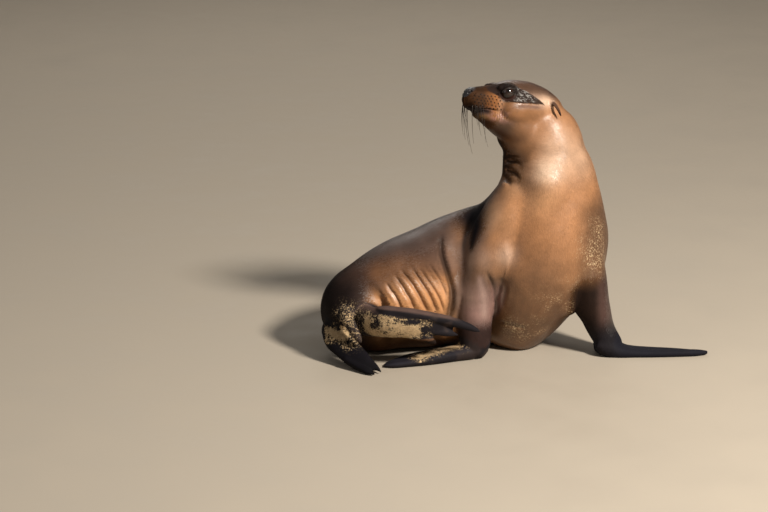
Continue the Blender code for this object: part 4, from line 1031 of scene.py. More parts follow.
    # sand that sticks
    grit = 0.55 + 0.9 * cloud(p, 60, 3, 29)
    sand = np.zeros(len(p))
    sole = foot_r * step(-0.115, -0.130, y) * step(0.122, 0.112, z + 0.10 * (x + 0.25)) * step(-0.165, -0.205, x) * step(0.062, 0.074, z)
    sand = np.maximum(sand, sole * (0.60 + 1.2 * cloud(p, 60, 4, 31)))
    upper = foot_l * step(0.040, 0.056, z - 0.25 * (x + 0.38)) * step(-0.08, -0.10, y)
    sand = np.maximum(sand, upper * (0.40 + 1.1 * cloud(p, 75, 3, 35)) * step(-0.33, -0.36, x))
    d, _, _ = to_line(p, np.array([(-0.106, -0.070, 0.034), (-0.136, -0.068, 0.024), (-0.160, -0.082, 0.021), (-0.200, -0.108, 0.016)]))
    palm = step(0.075, 0.055, z) * np.exp(-(d / 0.017)**2) * step(-0.1, 0.4, n[:, 2]) * (x < -0.095)
    sand = np.maximum(sand, palm * (0.85 + 1.0 * cloud(p, 75, 3, 49)))
    d, _, _ = to_line(p, np.array([(-0.392, -0.085, 0.068), (-0.367, -0.102, 0.066), (-0.346, -0.118, 0.057)]))
    sand = np.maximum(sand, np.exp(-(d / 0.018)**2) * step(0.30, 0.60, n[:, 2]) * (0.85 + 1.2 * cloud(p, 75, 3, 35)))
    crust = blob(p, (-0.345, -0.118, 0.092), 0.040) * 0.55
    sand = np.maximum(sand, crust * grit)
    chest_sand = step(0.095, 0.175, x + 0.30 * (0.25 - z) + 0.02 * n1) * step(0.03, -0.04, y) * step(0.36, 0.25, z) * step(0.05, 0.12, z)
    sand = np.maximum(sand, chest_sand * (0.15 + 0.22 * n2) * (1 - on_arm_l))
    belly_sand = np.exp(-((x - 0.085) / 0.055)**2 - ((z - 0.130) / 0.045)**2) * step(0.0, -0.03, y)
    sand = np.maximum(sand, belly_sand * (0.10 + 0.26 * n2) * (1 - on_arm_l))
    low = step(0.115, 0.070, z) * (1 - bare) * step(-0.02, -0.05, y) * (x > -0.03)
    sand = np.maximum(sand, low * (0.17 + 0.22 * n2) * (1 - on_arm_l) * (1 - on_arm_r) * step(0.10, 0.07, x))
    sand = np.clip(sand, 0, 1)
    leather = np.clip(bare + pad + 0.6 * lips, 0, 1)
    dull = np.maximum(patch, muzzle * (1 - pad)) + throat + on_arm_l * step(0.200, 0.150, x) + web * step(0.215, 0.165, x) + 0.9 * step(-0.255, -0.355, x) * step(0.26, 0.17, z) * (1 - bare)
    dull = dull + foot_l + hand_l + hollow + behind + shade + 0.9 * under + 0.8 * ear + 0.8 * wrist
    dull = dull + 0.8 * on_arm_r * step(0.095, 0.065, z) * (1 - bare) + hand_r + foot_r + tail + 0.9 * blob(p, (-0.148, -0.052, 0.202), 0.036) + 0.6 * flank * step(0.155, 0.190, z)
    dull = np.clip(np.maximum(dull, 1.1 * blob(p, (-0.088, 0.018, 0.286), 0.045)), 0, 1)
    wet = 0.62 - 0.12 * leather + 0.25 * on_arm_r + 0.2 * n1 - 0.5 * dull
    wet = np.clip(wet - 0.45 * blob(p, (0.062, -0.045, 0.475), 0.050) + 0.35 * blob(p, (0.070, -0.056, 0.404), 0.040)
                  - 0.70 * blob(p, (-0.150, -0.066, 0.190), 0.034), 0, 1)
    return c, np.stack([leather, sand, wet], 1), np.clip(bare + pad + lips + dark * 0.6 + 0.8 * ear, 0, 1), dull


def lie(p, n):
    """The direction in which the hair lies, along the skin."""
    h = to_head(p)
    x, y, z = p.T
    head = (step(-0.10, -0.05, h[:, 0]) * (z > 0.42))[:, None]
    trunk = (step(-0.04, -0.14, x) * (z < 0.34))[:, None]
    down = np.tile(np.array([-0.06, 0.04, -1.0]), (len(p), 1))
    back = np.tile(np.array([-1.0, -0.10, -0.22]), (len(p), 1))
    rear = np.tile(HEAD_R @ np.array([-1.0, 0.0, -0.25]), (len(p), 1))
    d = down * (1 - trunk) + back * trunk
    d = d * (1 - head) + rear * head
    sway = np.stack([cloud(p, 30, 2, 51), cloud(p, 30, 2, 52), cloud(p, 30, 2, 53)], 1)
    d = unit(d) + 0.22 * sway
    d -= n * (d * n).sum(1)[:, None]
    return unit(d)


# ------------------------------------------------------------------ materials
def colour_layer(mesh, name, values):
    layer = mesh.attributes.new(name, "FLOAT_COLOR", "POINT")
    data = np.ones((len(values), 4), np.float32)
    data[:, :3] = values
    layer.data.foreach_set("color", data.ravel())


class Nodes:
    """A short way to write a material's nodes."""

    def __init__(self, name):
        self.mat = bpy.data.materials.new(name)
        self.mat.use_nodes = True
        self.tree = self.mat.node_tree
        self.shader = self.tree.nodes["Principled BSDF"]

    def add(self, kind, inputs=None, **settings):
        node = self.tree.nodes.new(kind)
        for k, v in settings.items():
            setattr(node, k, v)
        for k, v in (inputs or {}).items():
            self.feed(node.inputs[k], v)
        return node

    def feed(self, socket, value):
        if isinstance(value, bpy.types.NodeSocket):
            self.tree.links.new(value, socket)
        else:
            socket.default_value = value

    def math(self, op, a, b=0.0, clamp=False):
        node = self.add("ShaderNodeMath", operation=op, use_clamp=clamp)
        self.feed(node.inputs[0], a)
        self.feed(node.inputs[1], b)
        return node.outputs[0]

    def ramp(self, value, lo, hi, out_lo=0.0, out_hi=1.0):
        node = self.add("ShaderNodeMapRange", {"Value": value, "From Min": lo, "From Max": hi, "To Min": out_lo, "To Max": out_hi})
        return node.outputs[0]

    def mix(self, a, b, share):
        node = self.add("ShaderNodeMix", data_type="RGBA")
        self.feed(node.inputs[0], share)
        self.feed(node.inputs[6], a)
        self.feed(node.inputs[7], b)
        return node.outputs[2]

    def noise(self, vector, scale, detail=3.0, rough=0.55):
        return self.add("ShaderNodeTexNoise", {"Vector": vector, "Scale": scale, "Detail": detail, "Roughness": rough}).outputs[0]

    def scaled(self, vector, size):
        return self.add("ShaderNodeMapping", {"Vector": vector, "Scale": size}).outputs[0]


def hide_material(name, coat, dull=False):
    """Wet short fur, bare leather and stuck sand, by the colours and masks that the mesh carries."""
    m = Nodes(name)
    place = m.add("ShaderNodeTexCoord").outputs["Object"]
    mark = m.add("ShaderNodeAttribute", attribute_name="mark").outputs["Color"]
    masks = m.add("ShaderNodeSeparateColor", {"Color": m.add("ShaderNodeAttribute", attribute_name="masks").outputs["Color"]})
    leather, sand, wet = masks.outputs[0], masks.outputs[1], masks.outputs[2]
    xyz = m.add("ShaderNodeSeparateXYZ", {"Vector": place})
    upright = m.noise(m.scaled(place, (850, 850, 90)), 1.0, 3.0, 0.6)
    lying = m.noise(m.scaled(place, (100, 800, 800)), 1.0, 3.0, 0.6)
    trunk = m.ramp(xyz.outputs[0], -0.06, -0.14)
    low = m.ramp(xyz.outputs[2], 0.36, 0.30)
    share = m.math("MULTIPLY", trunk, low)
    strands = m.add("ShaderNodeMix", data_type="FLOAT")
    m.feed(strands.inputs[0], share)
    m.feed(strands.inputs[2], upright)
    m.feed(strands.inputs[3], lying)
    strands = strands.outputs[0]
    patches = m.noise(place, 34.0, 4.0, 0.6)
    fine = m.noise(place, 900.0, 2.0, 0.6)
    tone = m.math("ADD", m.ramp(strands, 0.3, 0.7, 0.88, 1.12), m.ramp(patches, 0.3, 0.7, -0.10, 0.10))
    shade = m.add("ShaderNodeMix", data_type="RGBA", blend_type="MULTIPLY")
    shade.inputs[0].default_value = 1.0
    tone3 = m.add("ShaderNodeCombineColor")
    for k in range(3):
        m.feed(tone3.inputs[k], tone)
    m.feed(shade.inputs[6], mark)
    m.feed(shade.inputs[7], tone3.outputs[0])
    grains = m.noise(place, 1200.0, 2.0, 0.7)
    clots = m.noise(place, 270.0, 3.0, 0.75)
    amount = m.math("ADD", sand, m.math("MULTIPLY", m.math("SUBTRACT", m.math("ADD", m.math("MULTIPLY", grains, 0.4), m.math("MULTIPLY", clots, 1.2)), 0.78), 2.7))
    gate = m.math("MULTIPLY", m.ramp(amount, 0.36, 0.72), m.ramp(sand, 0.02, 0.16, 0.0, 0.92))
    sandy = m.mix((0.22, 0.135, 0.062, 1), (0.72, 0.53, 0.31, 1), m.ramp(m.math("ADD", m.math("MULTIPLY", grains, 0.6), m.math("MULTIPLY", m.noise(place, 130.0, 3.0, 0.6), 0.4)), 0.36, 0.62))
    colour = m.mix(shade.outputs[2], sandy, gate)
    m.feed(m.shader.inputs["Base Color"], colour)
    rough = m.math("ADD", m.ramp(wet, 0.0, 1.0, 0.72, 0.24), m.ramp(patches, 0.3, 0.7, -0.06, 0.08))
    rough = m.math("ADD", rough, m.math("MULTIPLY", gate, 0.55), clamp=True)
    m.feed(m.shader.inputs["Roughness"], rough)
    # relief
    cells = m.add("ShaderNodeTexVoronoi", {"Vector": place, "Scale": 300.0}, feature="DISTANCE_TO_EDGE").outputs["Distance"]
    wrinkles = m.math("ADD", m.math("MULTIPLY", m.ramp(cells, 0.0, 0.25), 0.6), m.math("MULTIPLY", m.noise(place, 150.0, 4.0, 0.6), 0.8))
    hair = m.math("ADD", m.math("MULTIPLY", strands, 1.0), m.math("MULTIPLY", fine, 0.25))
    relief = m.add("ShaderNodeMix", data_type="FLOAT")
    m.feed(relief.inputs[0], leather)
    m.feed(relief.inputs[2], hair)
    m.feed(relief.inputs[3], m.math("MULTIPLY", wrinkles, 0.55))
    height = m.math("ADD", relief.outputs[0], m.math("MULTIPLY", m.math("MULTIPLY", gate, grains), 2.2))
    bump = m.add("ShaderNodeBump", {"Strength": 0.30 if not coat else 0.15, "Distance": 0.0008, "Height": height})
    m.feed(m.shader.inputs["Normal"], bump.outputs[0])
    m.shader.inputs["Sheen Weight"].default_value = 0.0 if dull else 0.04
    m.shader.inputs["Sheen Roughness"].default_value = 0.4
    m.shader.inputs["Coat Weight"].default_value = 0.0 if dull else 0.38
    m.shader.inputs["Coat Roughness"].default_value = 0.30
    m.shader.inputs["Specular IOR Level"].default_value = 0.08 if dull else 0.45
    return m.mat


def plain_material(name, dark, light, scale, rough, coat=0.0, bump=0.3, detail=4.0, specular=0.5):
    """One material with two tones, broken by noise at its own scale."""
    m = Nodes(name)
    place = m.add("ShaderNodeTexCoord").outputs["Object"]
    n = m.noise(place, scale, detail, 0.6)
    m.feed(m.shader.inputs["Base Color"], m.mix((*dark, 1), (*light, 1), m.ramp(n, 0.3, 0.7)))
    m.feed(m.shader.inputs["Roughness"], m.ramp(n, 0.3, 0.7, rough * 0.8, min(1.0, rough * 1.2)))
    b = m.add("ShaderNodeBump", {"Strength": bump, "Distance": 0.0004, "Height": n})
    m.feed(m.shader.inputs["Normal"], b.outputs[0])
    m.shader.inputs["Coat Weight"].default_value = coat
    m.shader.inputs["Specular IOR Level"].default_value = specular
    m.shader.inputs["Coat Roughness"].default_value = 0.05
    return m.mat


def eye_material():
    """Dark iris with fine rays round a black pupil, under a clear wet front.  The ball's own +Z looks out."""
    m = Nodes("eye_ball")
    place = m.add("ShaderNodeTexCoord").outputs["Object"]
    xyz = m.add("ShaderNodeSeparateXYZ", {"Vector": place})
    x, y = xyz.outputs[0], xyz.outputs[1]
    radius = m.math("SQRT", m.math("ADD", m.math("MULTIPLY", x, x), m.math("MULTIPLY", y, y)))
    rays = m.noise(m.add("ShaderNodeCombineXYZ", {"X": m.math("ARCTAN2", y, x), "Y": m.math("MULTIPLY", radius, 60.0)}).outputs[0], 9.0, 3.0, 0.6)
    iris = m.mix((0.008, 0.004, 0.003, 1), (0.028, 0.010, 0.006, 1), rays)
    pupil = m.ramp(m.math("ADD", radius, m.math("MULTIPLY", rays, 0.0006)), 0.0040, 0.0047)
    inner = m.mix((0.003, 0.002, 0.002, 1), iris, pupil)
    rim = m.ramp(radius, 0.0088, 0.0102)
    m.feed(m.shader.inputs["Base Color"], m.mix(inner, (0.008, 0.005, 0.004, 1), rim))
    m.feed(m.shader.inputs["Roughness"], m.ramp(rays, 0.2, 0.8, 0.05, 0.10))
    m.shader.inputs["Coat Weight"].default_value = 0.3
    m.shader.inputs["Coat Roughness"].default_value = 0.03
    return m.mat


# ------------------------------------------------------------------ meshes from arrays
def mesh_object(name, verts, faces, material, smooth=True):
    """faces: an array of triangles or quads, or a list of both."""
    mesh = bpy.data.meshes.new(name)
    mesh.from_pydata([], [], [])
    verts = np.asarray(verts, np.float32)
    mesh.vertices.add(len(verts))
    mesh.vertices.foreach_set("co", verts.ravel())
    if isinstance(faces, np.ndarray):
        faces = [faces]
    loops = np.concatenate([f.ravel() for f in faces]).astype(np.int32)
    sizes = np.concatenate([np.full(len(f), f.shape[1]) for f in faces])
    starts = np.concatenate([[0], np.cumsum(sizes)[:-1]]).astype(np.int32)
    mesh.loops.add(len(loops))
    mesh.loops.foreach_set("vertex_index", loops)
    mesh.polygons.add(len(sizes))
    mesh.polygons.foreach_set("loop_start", starts)
    mesh.update(calc_edges=True)
    mesh.validate()
    mesh.polygons.foreach_set("use_smooth", np.full(len(mesh.polygons), smooth))
    mesh.materials.append(material)
    obj = bpy.data.objects.new(name, mesh)
    bpy.context.scene.collection.objects.link(obj)
    return obj


def tube_arrays(line, radii, around=8, squash=None, up=None):
    """A closed tapered tube along a line, as vertices and faces."""
    line = np.asarray(line, float)
    t = unit(np.gradient(line, axis=0))
    ref = np.array(up if up is not None else (0.0, 0.0, 1.0), float)
    verts, quads = [], []
    side = np.cross(t[0], ref)
    if np.linalg.norm(side) < 0.1:
        side = np.cross(t[0], (1.0, 0.0, 0.0))
    for i in range(len(line)):
        side = side - t[i] * (side @ t[i])
        side = side / np.linalg.norm(side)
        top = np.cross(side, t[i])
        a = np.arange(around) * 2 * math.pi / around
        k = 1.0 if squash is None else squash
        verts.append(line[i] + radii[i] * (np.cos(a)[:, None] * side + k * np.sin(a)[:, None] * top))
    n = len(line)
    for i in range(n - 1):
        for k in range(around):
            quads.append((i * around + k, i * around + (k + 1) % around, (i + 1) * around + (k + 1) % around, (i + 1) * around + k))
    verts = np.vstack(verts + [line[:1], line[-1:]])
    tris = [(n * around, (k + 1) % around, k) for k in range(around)]
    tris += [(n * around + 1, (n - 1) * around + k, (n - 1) * around + (k + 1) % around) for k in range(around)]
    return verts, np.array(quads), np.array(tris)


def gather(parts):
    """Several (verts, quads, tris) as one."""
    verts, quads, tris, base = [], [], [], 0
    for v, q, t in parts:
        verts.append(v)
        if len(q):
            quads.append(q + base)
        if len(t):
            tris.append(t + base)
        base += len(v)
    out = []
    if quads:
        out.append(np.vstack(quads))
    if tris:
        out.append(np.vstack(tris))
    return np.vstack(verts), out


def outward_faces(obj):
    bm = bmesh.new()
    bm.from_mesh(obj.data)
    bmesh.ops.recalc_face_normals(bm, faces=bm.faces[:])
    bm.to_mesh(obj.data)
    bm.free()
    return obj


# ------------------------------------------------------------------ coat
class Roots:
    """Even scatter of places over the skin, with the unwrap's coordinates."""

    def __init__(self, mesh, uv):
        mesh.calc_loop_triangles()
        n = len(mesh.loop_triangles)
        self.tv = np.zeros(n * 3, np.int32)
        mesh.loop_triangles.foreach_get("vertices", self.tv)
        self.tv = self.tv.reshape(-1, 3)
        tl = np.zeros(n * 3, np.int32)
        mesh.loop_triangles.foreach_get("loops", tl)
        self.co = coords(mesh)
        self.no = vertex_normals(mesh)
        self.uv = uv[tl.reshape(-1, 3)]
        a, b, c = (self.co[self.tv[:, k]] for k in range(3))
        self.area = 0.5 * np.linalg.norm(np.cross(b - a, c - a), axis=1)
        self.mid = (a + b + c) / 3

    def scatter(self, density, count):
        """count roots, spread by density (one number per triangle)."""
        w = self.area * density
        total = np.cumsum(w)
        pick = np.searchsorted(total, (np.arange(count) + RNG.random(count)) / count * total[-1])
        pick = np.clip(pick, 0, len(w) - 1)
        r1, r2 = np.sqrt(RNG.random(count)), RNG.random(count)
        bary = np.stack([1 - r1, r1 * (1 - r2), r1 * r2], 1)
        tv = self.tv[pick]
        p = (self.co[tv] * bary[:, :, None]).sum(1)
        n = unit((self.no[tv] * bary[:, :, None]).sum(1))
        uv = (self.uv[pick] * bary[:, :, None]).sum(1)
        return p, n, uv


def tufts(name, p, n, uv, length, width, lift, material, dark_material, dark_at, sink=0.0004, tint=0.07):
    """Short flat tufts, each a closed leaf with a root, a broad middle and a tip."""
    count = len(p)
    d = lie(p, n)
    s = np.cross(n, d)
    size = 0.65 + 0.7 * RNG.random(count)
    turn = (RNG.random(count) - 0.5) * 0.5
    d = unit(d + s * turn[:, None])
    s = np.cross(n, d)
    ln = length(p) * size
    wd = width(p) * (0.7 + 0.6 * RNG.random(count))
    lf = lift(p) * (0.4 + 1.2 * RNG.random(count))
    root = p - n * sink
    mid = root + d * (0.42 * ln)[:, None] + n * (sink + 0.00025 + 0.42 * ln * lf)[:, None]
    tip = root + d * ln[:, None] + n * (sink + 0.00005 + ln * lf)[:, None]
    thick = 0.16 * wd
    verts = np.stack([
        root - s * (0.30 * wd)[:, None], root + s * (0.30 * wd)[:, None],
        mid - s * (0.5 * wd)[:, None], mid + s * (0.5 * wd)[:, None], mid + n * thick[:, None], tip], 1)
    verts[:, :, 2] = np.maximum(verts[:, :, 2], 0.0003)
    pattern = np.array([(0, 2, 4), (0, 4, 1), (1, 4, 3), (2, 5, 4), (4, 5, 3), (0, 1, 2), (1, 3, 2), (2, 3, 5)])
    faces = (pattern[None] + (np.arange(count) * 6)[:, None, None]).reshape(-1, 3)
    obj = mesh_object(name, verts.reshape(-1, 3), faces, material)
    c, masks, _, dull = markings(p, n, dark_at(p))
    obj.data.materials.append(dark_material)
    obj.data.polygons.foreach_set("material_index", np.repeat(dull > 0.25 + 0.5 * RNG.random(count), 8).astype(np.int32))
    c = c * (1 + tint * (RNG.random(count) - 0.5) * 2)[:, None]
    tone = np.array([0.94, 0.94, 1.0, 1.0, 1.02, 1.05])
    colour_layer(obj.data, "mark", np.clip(c[:, None, :] * tone[None, :, None], 0.003, 1).reshape(-1, 3))
    colour_layer(obj.data, "masks", np.repeat(masks, 6, axis=0))
    flat = unit(n + 0.05 * RNG.normal(0, 1, (count, 3)))
    own = vertex_normals(obj.data).reshape(count, 6, 3)
    shading = unit(0.86 * flat[:, None, :] + 0.14 * own)
    obj.data.normals_split_custom_set_from_vertices(shading.reshape(-1, 3).tolist())
    layer = obj.data.uv_layers.new(name="OFBake")
    spot = np.array([(-0.0006, -0.0014), (0.0006, -0.0014), (-0.0012, 0.0), (0.0012, 0.0), (0.0, 0.0002), (0.0, 0.0015)])
    at = np.clip(uv[:, None, :] + spot[None], 0.001, 0.999).reshape(-1, 2)
    index = np.zeros(len(obj.data.loops), np.int32)
    obj.data.loops.foreach_get("vertex_index", index)
    layer.data.foreach_set("uv", at[index].astype(np.float32).ravel())
    return obj


def unwrap(skin):
    """The skin's own shape laid flat; read for the coat, then taken off the skin again."""
    bpy.context.view_layer.objects.active = skin
    for o in bpy.context.view_layer.objects:
        o.select_set(o == skin)
    skin.data.uv_layers.new(name="flat")
    bpy.ops.object.mode_set(mode="EDIT")
    bpy.ops.mesh.select_all(action="SELECT")
    bpy.ops.uv.smart_project(angle_limit=math.radians(72), island_margin=0.002)
    bpy.ops.object.mode_set(mode="OBJECT")
    uv = np.zeros(len(skin.data.loops) * 2)
    skin.data.uv_layers["flat"].data.foreach_get("uv", uv)
    skin.data.uv_layers.remove(skin.data.uv_layers["flat"])
    skin.select_set(False)
    return uv.reshape(-1, 2)


# ------------------------------------------------------------------ eyes, lids, whiskers, claws, grit
def make_eye(name, side, material):
    c, o, a, b = eye_axes(side)
    bm = bmesh.new()
    bmesh.ops.create_uvsphere(bm, u_segments=48, v_segments=32, radius=EYE_R)
    for v in bm.verts:  # a slightly fuller front, the clear cornea
        rho = math.hypot(v.co.x, v.co.y) / EYE_R
        if v.co.z > 0 and rho < 0.75:
            v.co *= 1 + 0.035 * (math.cos(rho / 0.75 * math.pi / 2))**2
    obj = new_object(name, outward(bm), material)
    for f in obj.data.polygons:
        f.use_smooth = True
    look = unit(o + 0.10 * a)
    x = unit(a - look * (a @ look))
    y = np.cross(look, x)
    m = Matrix(np.column_stack([x, y, look]).tolist()).to_4x4()
    m.translation = Vector(c)
    obj.matrix_world = m
    return obj


def lid_rims(material):
    parts = []
    for side in (1, -1):
        c, o, a, b = eye_axes(side)
        t = np.linspace(0, 2 * math.pi, 57)
        A = LID_LONG * np.cos(t)
        up, low = lid_edges(A)
        B = np.where(np.sin(t) >= 0, up, low)
        O_ = np.sqrt(np.clip(1 - A**2 - B**2, 0.02, 1))
        d = unit(A[:, None] * a + B[:, None] * b + O_[:, None] * o)
        line = c + d * (EYE_R + 0.0004)
        width = 0.00060 + 0.00030 * (np.sin(t) > 0)
        parts.append(tube_arrays(line, width, around=8, up=o))
    v, f = gather(parts)
    return outward_faces(mesh_object("lid_rims", v, f, material))


def pad_places(side):
    """Roots of the whiskers on one pad, in rows along the muzzle, in head coordinates."""
    out = []
    for row in range(5):
        for col in range(9):
            f = 0.1370 - 0.0080 * col - 0.0034 * (row % 2)
            u = 0.0010 - 0.0060 * row - 0.0004 * col + 0.0008 * math.sin(col * 1.3 + row)
            if f < 0.070 or (row == 0 and col < 2) or (row == 1 and col > 7):
                continue
            out.append((row, col, f, side * 0.05, u))
    return out


def onto_skin(tree, point, direction):
    hit, normal, _, _ = tree.ray_cast(Vector(point), Vector(direction))
    return (np.array(hit), np.array(normal)) if hit is not None else (None, None)


def whiskers(skin_tree, dark_mat, root_mat):
    parts, dots = [], []
    for side in (1, -1):
        for row, col, f, l, u in pad_places(side):
            start = from_head([f + 0.010, side * 0.070, u + 0.002])
            aim = unit(from_head([f - 0.006, 0.0, u]) - start)
            p, n = onto_skin(skin_tree, start, aim)
            if p is None:
                continue
            r = 0.00200 * (1.0 - 0.04 * col)
            ring = tube_arrays(np.array([p - n * 0.0006, p + n * 0.00005, p + n * 0.0004]), [r * 1.25, r, r * 0.45], around=8)
            dots.append(ring)
            back = HEAD_R @ np.array([-1.0, 0.10 * side, 0.0])
            fall = np.array([0.0, 0.0, -1.0])
            if row >= 1 and col <= (0 if row == 1 else 2 if row >= 3 else 1):
                # wet and hanging
                length = (0.042 + 0.008 * (row - 2) + 0.010 * col) * (0.70 + 0.6 * RNG.random())
                length *= 1.45 if row == 3 and col == 2 else 1.0
                t = np.linspace(0, 1, 15)[:, None]
                out = unit(0.28 * n - 1.0 * np.array([0.0, 0.0, 1.0]) + 0.06 * back)
                sway = RNG.normal(0, 0.06, 3)
                line = p - n * 0.0008 + length * (out * (t - 0.55 * t**2) + (fall * 0.80 + back * (0.10 + 0.18 * RNG.random()) + sway) * t**1.7 * 0.75)
                parts.append(tube_arrays(line, 0.00072 * (1 - 0.72 * t[:, 0]) * (0.85 + 0.3 * RNG.random()), around=6))
            elif col >= 1:
                # short and stuck to the lip
                way = unit(fall + back * (0.20 + 0.25 * RNG.random()))
                way = unit(way - n * (way @ n))
                length = 0.003 + 0.004 * RNG.random()
                line = [p - n * 0.0006]
                for k in np.linspace(0.12, 1, 8):
                    q, m = onto_skin(skin_tree, p + way * (length * k) + n * 0.006, -n)
                    if q is None or np.linalg.norm(q - line[-1]) > 0.006:
                        break
                    line.append(q + m * 0.0006)
                if len(line) > 4:
                    line = np.array(line)
                    parts.append(tube_arrays(line, 0.00024 * (1 - 0.7 * np.linspace(0, 1, len(line))), around=5))
    v, f = gather(parts)
    hairs = outward_faces(mesh_object("whiskers", v, f, dark_mat))
    v, f = gather(dots)
    return hairs, outward_faces(mesh_object("whisker_roots", v, f, root_mat))


def claws(tree, material):
    """Small curved nails: three on each hind flipper, and nubs on the fore flippers."""
    spots = [  # a point outside the skin, the way in, the way the nail points
        ((-0.235, -0.080, 0.155), (0, -0.4, -1), (1, 0.1, -0.3)), ((-0.170, -0.070, 0.140), (0, -0.5, -1), (1, 0.1, -0.4)),
        ((-0.345, -0.125, 0.120), (0, 0, -1), (0.55, -0.7, -0.4)), ((-0.352, -0.110, 0.120), (0, 0, -1), (0.55, -0.7, -0.4)),
        ((-0.338, -0.142, 0.120), (0, 0, -1), (0.55, -0.7, -0.4)),
        ((-0.175, -0.072, 0.060), (0, 0, -1), (-1, -0.4, 0)), ((-0.168, -0.056, 0.060), (0, 0, -1), (-1, -0.3, 0)),
        ((-0.180, -0.086, 0.060), (0, 0, -1), (-1, -0.4, 0)),
        ((0.285, -0.040, 0.060), (0, 0, -1), (1, 0, 0)), ((0.292, -0.052, 0.060), (0, 0, -1), (1, 0, 0)),
    ]
    parts = []
    for start, aim, way in spots:
        p, n = onto_skin(tree, start, unit(np.array(aim, float)))
        if p is None:
            continue
        d = np.array(way, float)
        d = unit(d - n * (d @ n))
        t = np.linspace(0, 1, 9)[:, None]
        big = 0.0085 if abs(p[0]) > 0.2 and p[2] > 0.02 else 0.0055
        line = p - n * 0.0010 + d * (big * t) + n * (0.0017 * np.sin(t * math.pi * 0.75))
        radii = (0.0016 * np.sqrt(np.clip(1 - t[:, 0]**1.6, 0.015, 1))) * big / 0.0085
        parts.append(tube_arrays(line, radii, around=10, squash=0.6, up=n))
    v, f = gather(parts)
    return outward_faces(mesh_object("claws", v, f, material))


def grit(roots, sand_at, count, material):
    """Grains of sand that stick to the soles and the belly."""
    density = np.clip(sand_at - 0.25, 0, 1)**1.5
    p, n, _ = roots.scatter(density, count)
    r = 0.00030 + 0.00045 * RNG.random(count)**2
    base = np.array([(1, 0, 0), (-1, 0, 0), (0, 1, 0), (0, -1, 0), (0, 0, 1), (0, 0, -1)], float)
    spin = unit(RNG.normal(0, 1, (count, 3)))
    other = unit(np.cross(spin, unit(RNG.normal(0, 1, (count, 3)))))
    third = np.cross(spin, other)
    axes = np.stack([spin, other, third], 1)
    verts = (p + n * (0.25 * r)[:, None])[:, None, :] + r[:, None, None] * (base @ np.eye(3))[None] @ axes * (0.7 + 0.6 * RNG.random((count, 6, 1)))
    verts[:, :, 2] = np.maximum(verts[:, :, 2], 0.0002)
    pattern = np.array([(0, 2, 4), (2, 1, 4), (1, 3, 4), (3, 0, 4), (2, 0, 5), (1, 2, 5), (3, 1, 5), (0, 3, 5)])
    faces = (pattern[None] + (np.arange(count) * 6)[:, None, None]).reshape(-1, 3)
    return mesh_object("grit", verts.reshape(-1, 3), faces, material, smooth=False)


# ------------------------------------------------------------------ the scene
def build():
    skin = base_skin()

    def fine_zone(mid):
        h = to_head(mid)
        return (h[:, 0] > -0.072) & (np.hypot(h[:, 1], h[:, 2]) < 0.100) & (mid[:, 2] > 0.42)

    refine(skin, fine_zone)
    p = coords(skin.data)
    h = to_head(p)
    group = skin.vertex_groups.new(name="face")
    ids = np.nonzero((h[:, 0] > -0.075) & (p[:, 2] > 0.42))[0]
    group.add(ids.tolist(), 1.0, "REPLACE")
    ease = skin.modifiers.new("ease", "SMOOTH")
    ease.factor, ease.iterations, ease.vertex_group = 0.5, 5, "face"
    applied(skin)
    skin.vertex_groups.clear()
    dark = sculpt(skin)
    layer = skin.data.attributes.new("dark", "FLOAT", "POINT")
    layer.data.foreach_set("value", dark.astype(np.float32))
    thin = skin.modifiers.new("thin", "DECIMATE")
    thin.decimate_type = "COLLAPSE"
    thin.ratio = SKIN_TRIANGLES / sum(len(q.vertices) - 2 for q in skin.data.polygons)
    thin.use_collapse_triangulate = True
    applied(skin)
    mesh = skin.data
    p, n = coords(mesh), vertex_normals(mesh)
    p[:, 2] = np.where(p[:, 2] < 0.0009, 0.0003, p[:, 2])
    put_coords(mesh, p)
    dark = np.zeros(len(p))
    mesh.attributes["dark"].data.foreach_get("value", dark)
    mesh.attributes.remove(mesh.attributes["dark"])
    mesh.polygons.foreach_set("use_smooth", np.full(len(mesh.polygons), True))
    colours, masks, bald, dull = markings(p, n, dark)
    colour_layer(mesh, "mark", colours)
    colour_layer(mesh, "masks", masks)
    mesh.materials.clear()
    mesh.materials.append(hide_material("sea_lion_hide", False))
    mesh.materials.append(hide_material("sea_lion_dark_hide", False, True))
    corner = np.zeros(len(mesh.loops), np.int32)
    mesh.loops.foreach_get("vertex_index", corner)
    share = dull[corner].reshape(-1, 3).mean(1)
    mesh.polygons.foreach_set("material_index", (share > 0.25 + 0.5 * RNG.random(len(share))).astype(np.int32))
    skin.name = "sea_lion_skin"
    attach(skin, "root")
    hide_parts("head", "neck", "chest", "trunk", "hips", "tail", "fore_flipper_left", "fore_flipper_right",
                "hind_flipper_left", "hind_flipper_right", "ear_left", "ear_right", "nose")
    return skin, p, n, dark, masks, bald


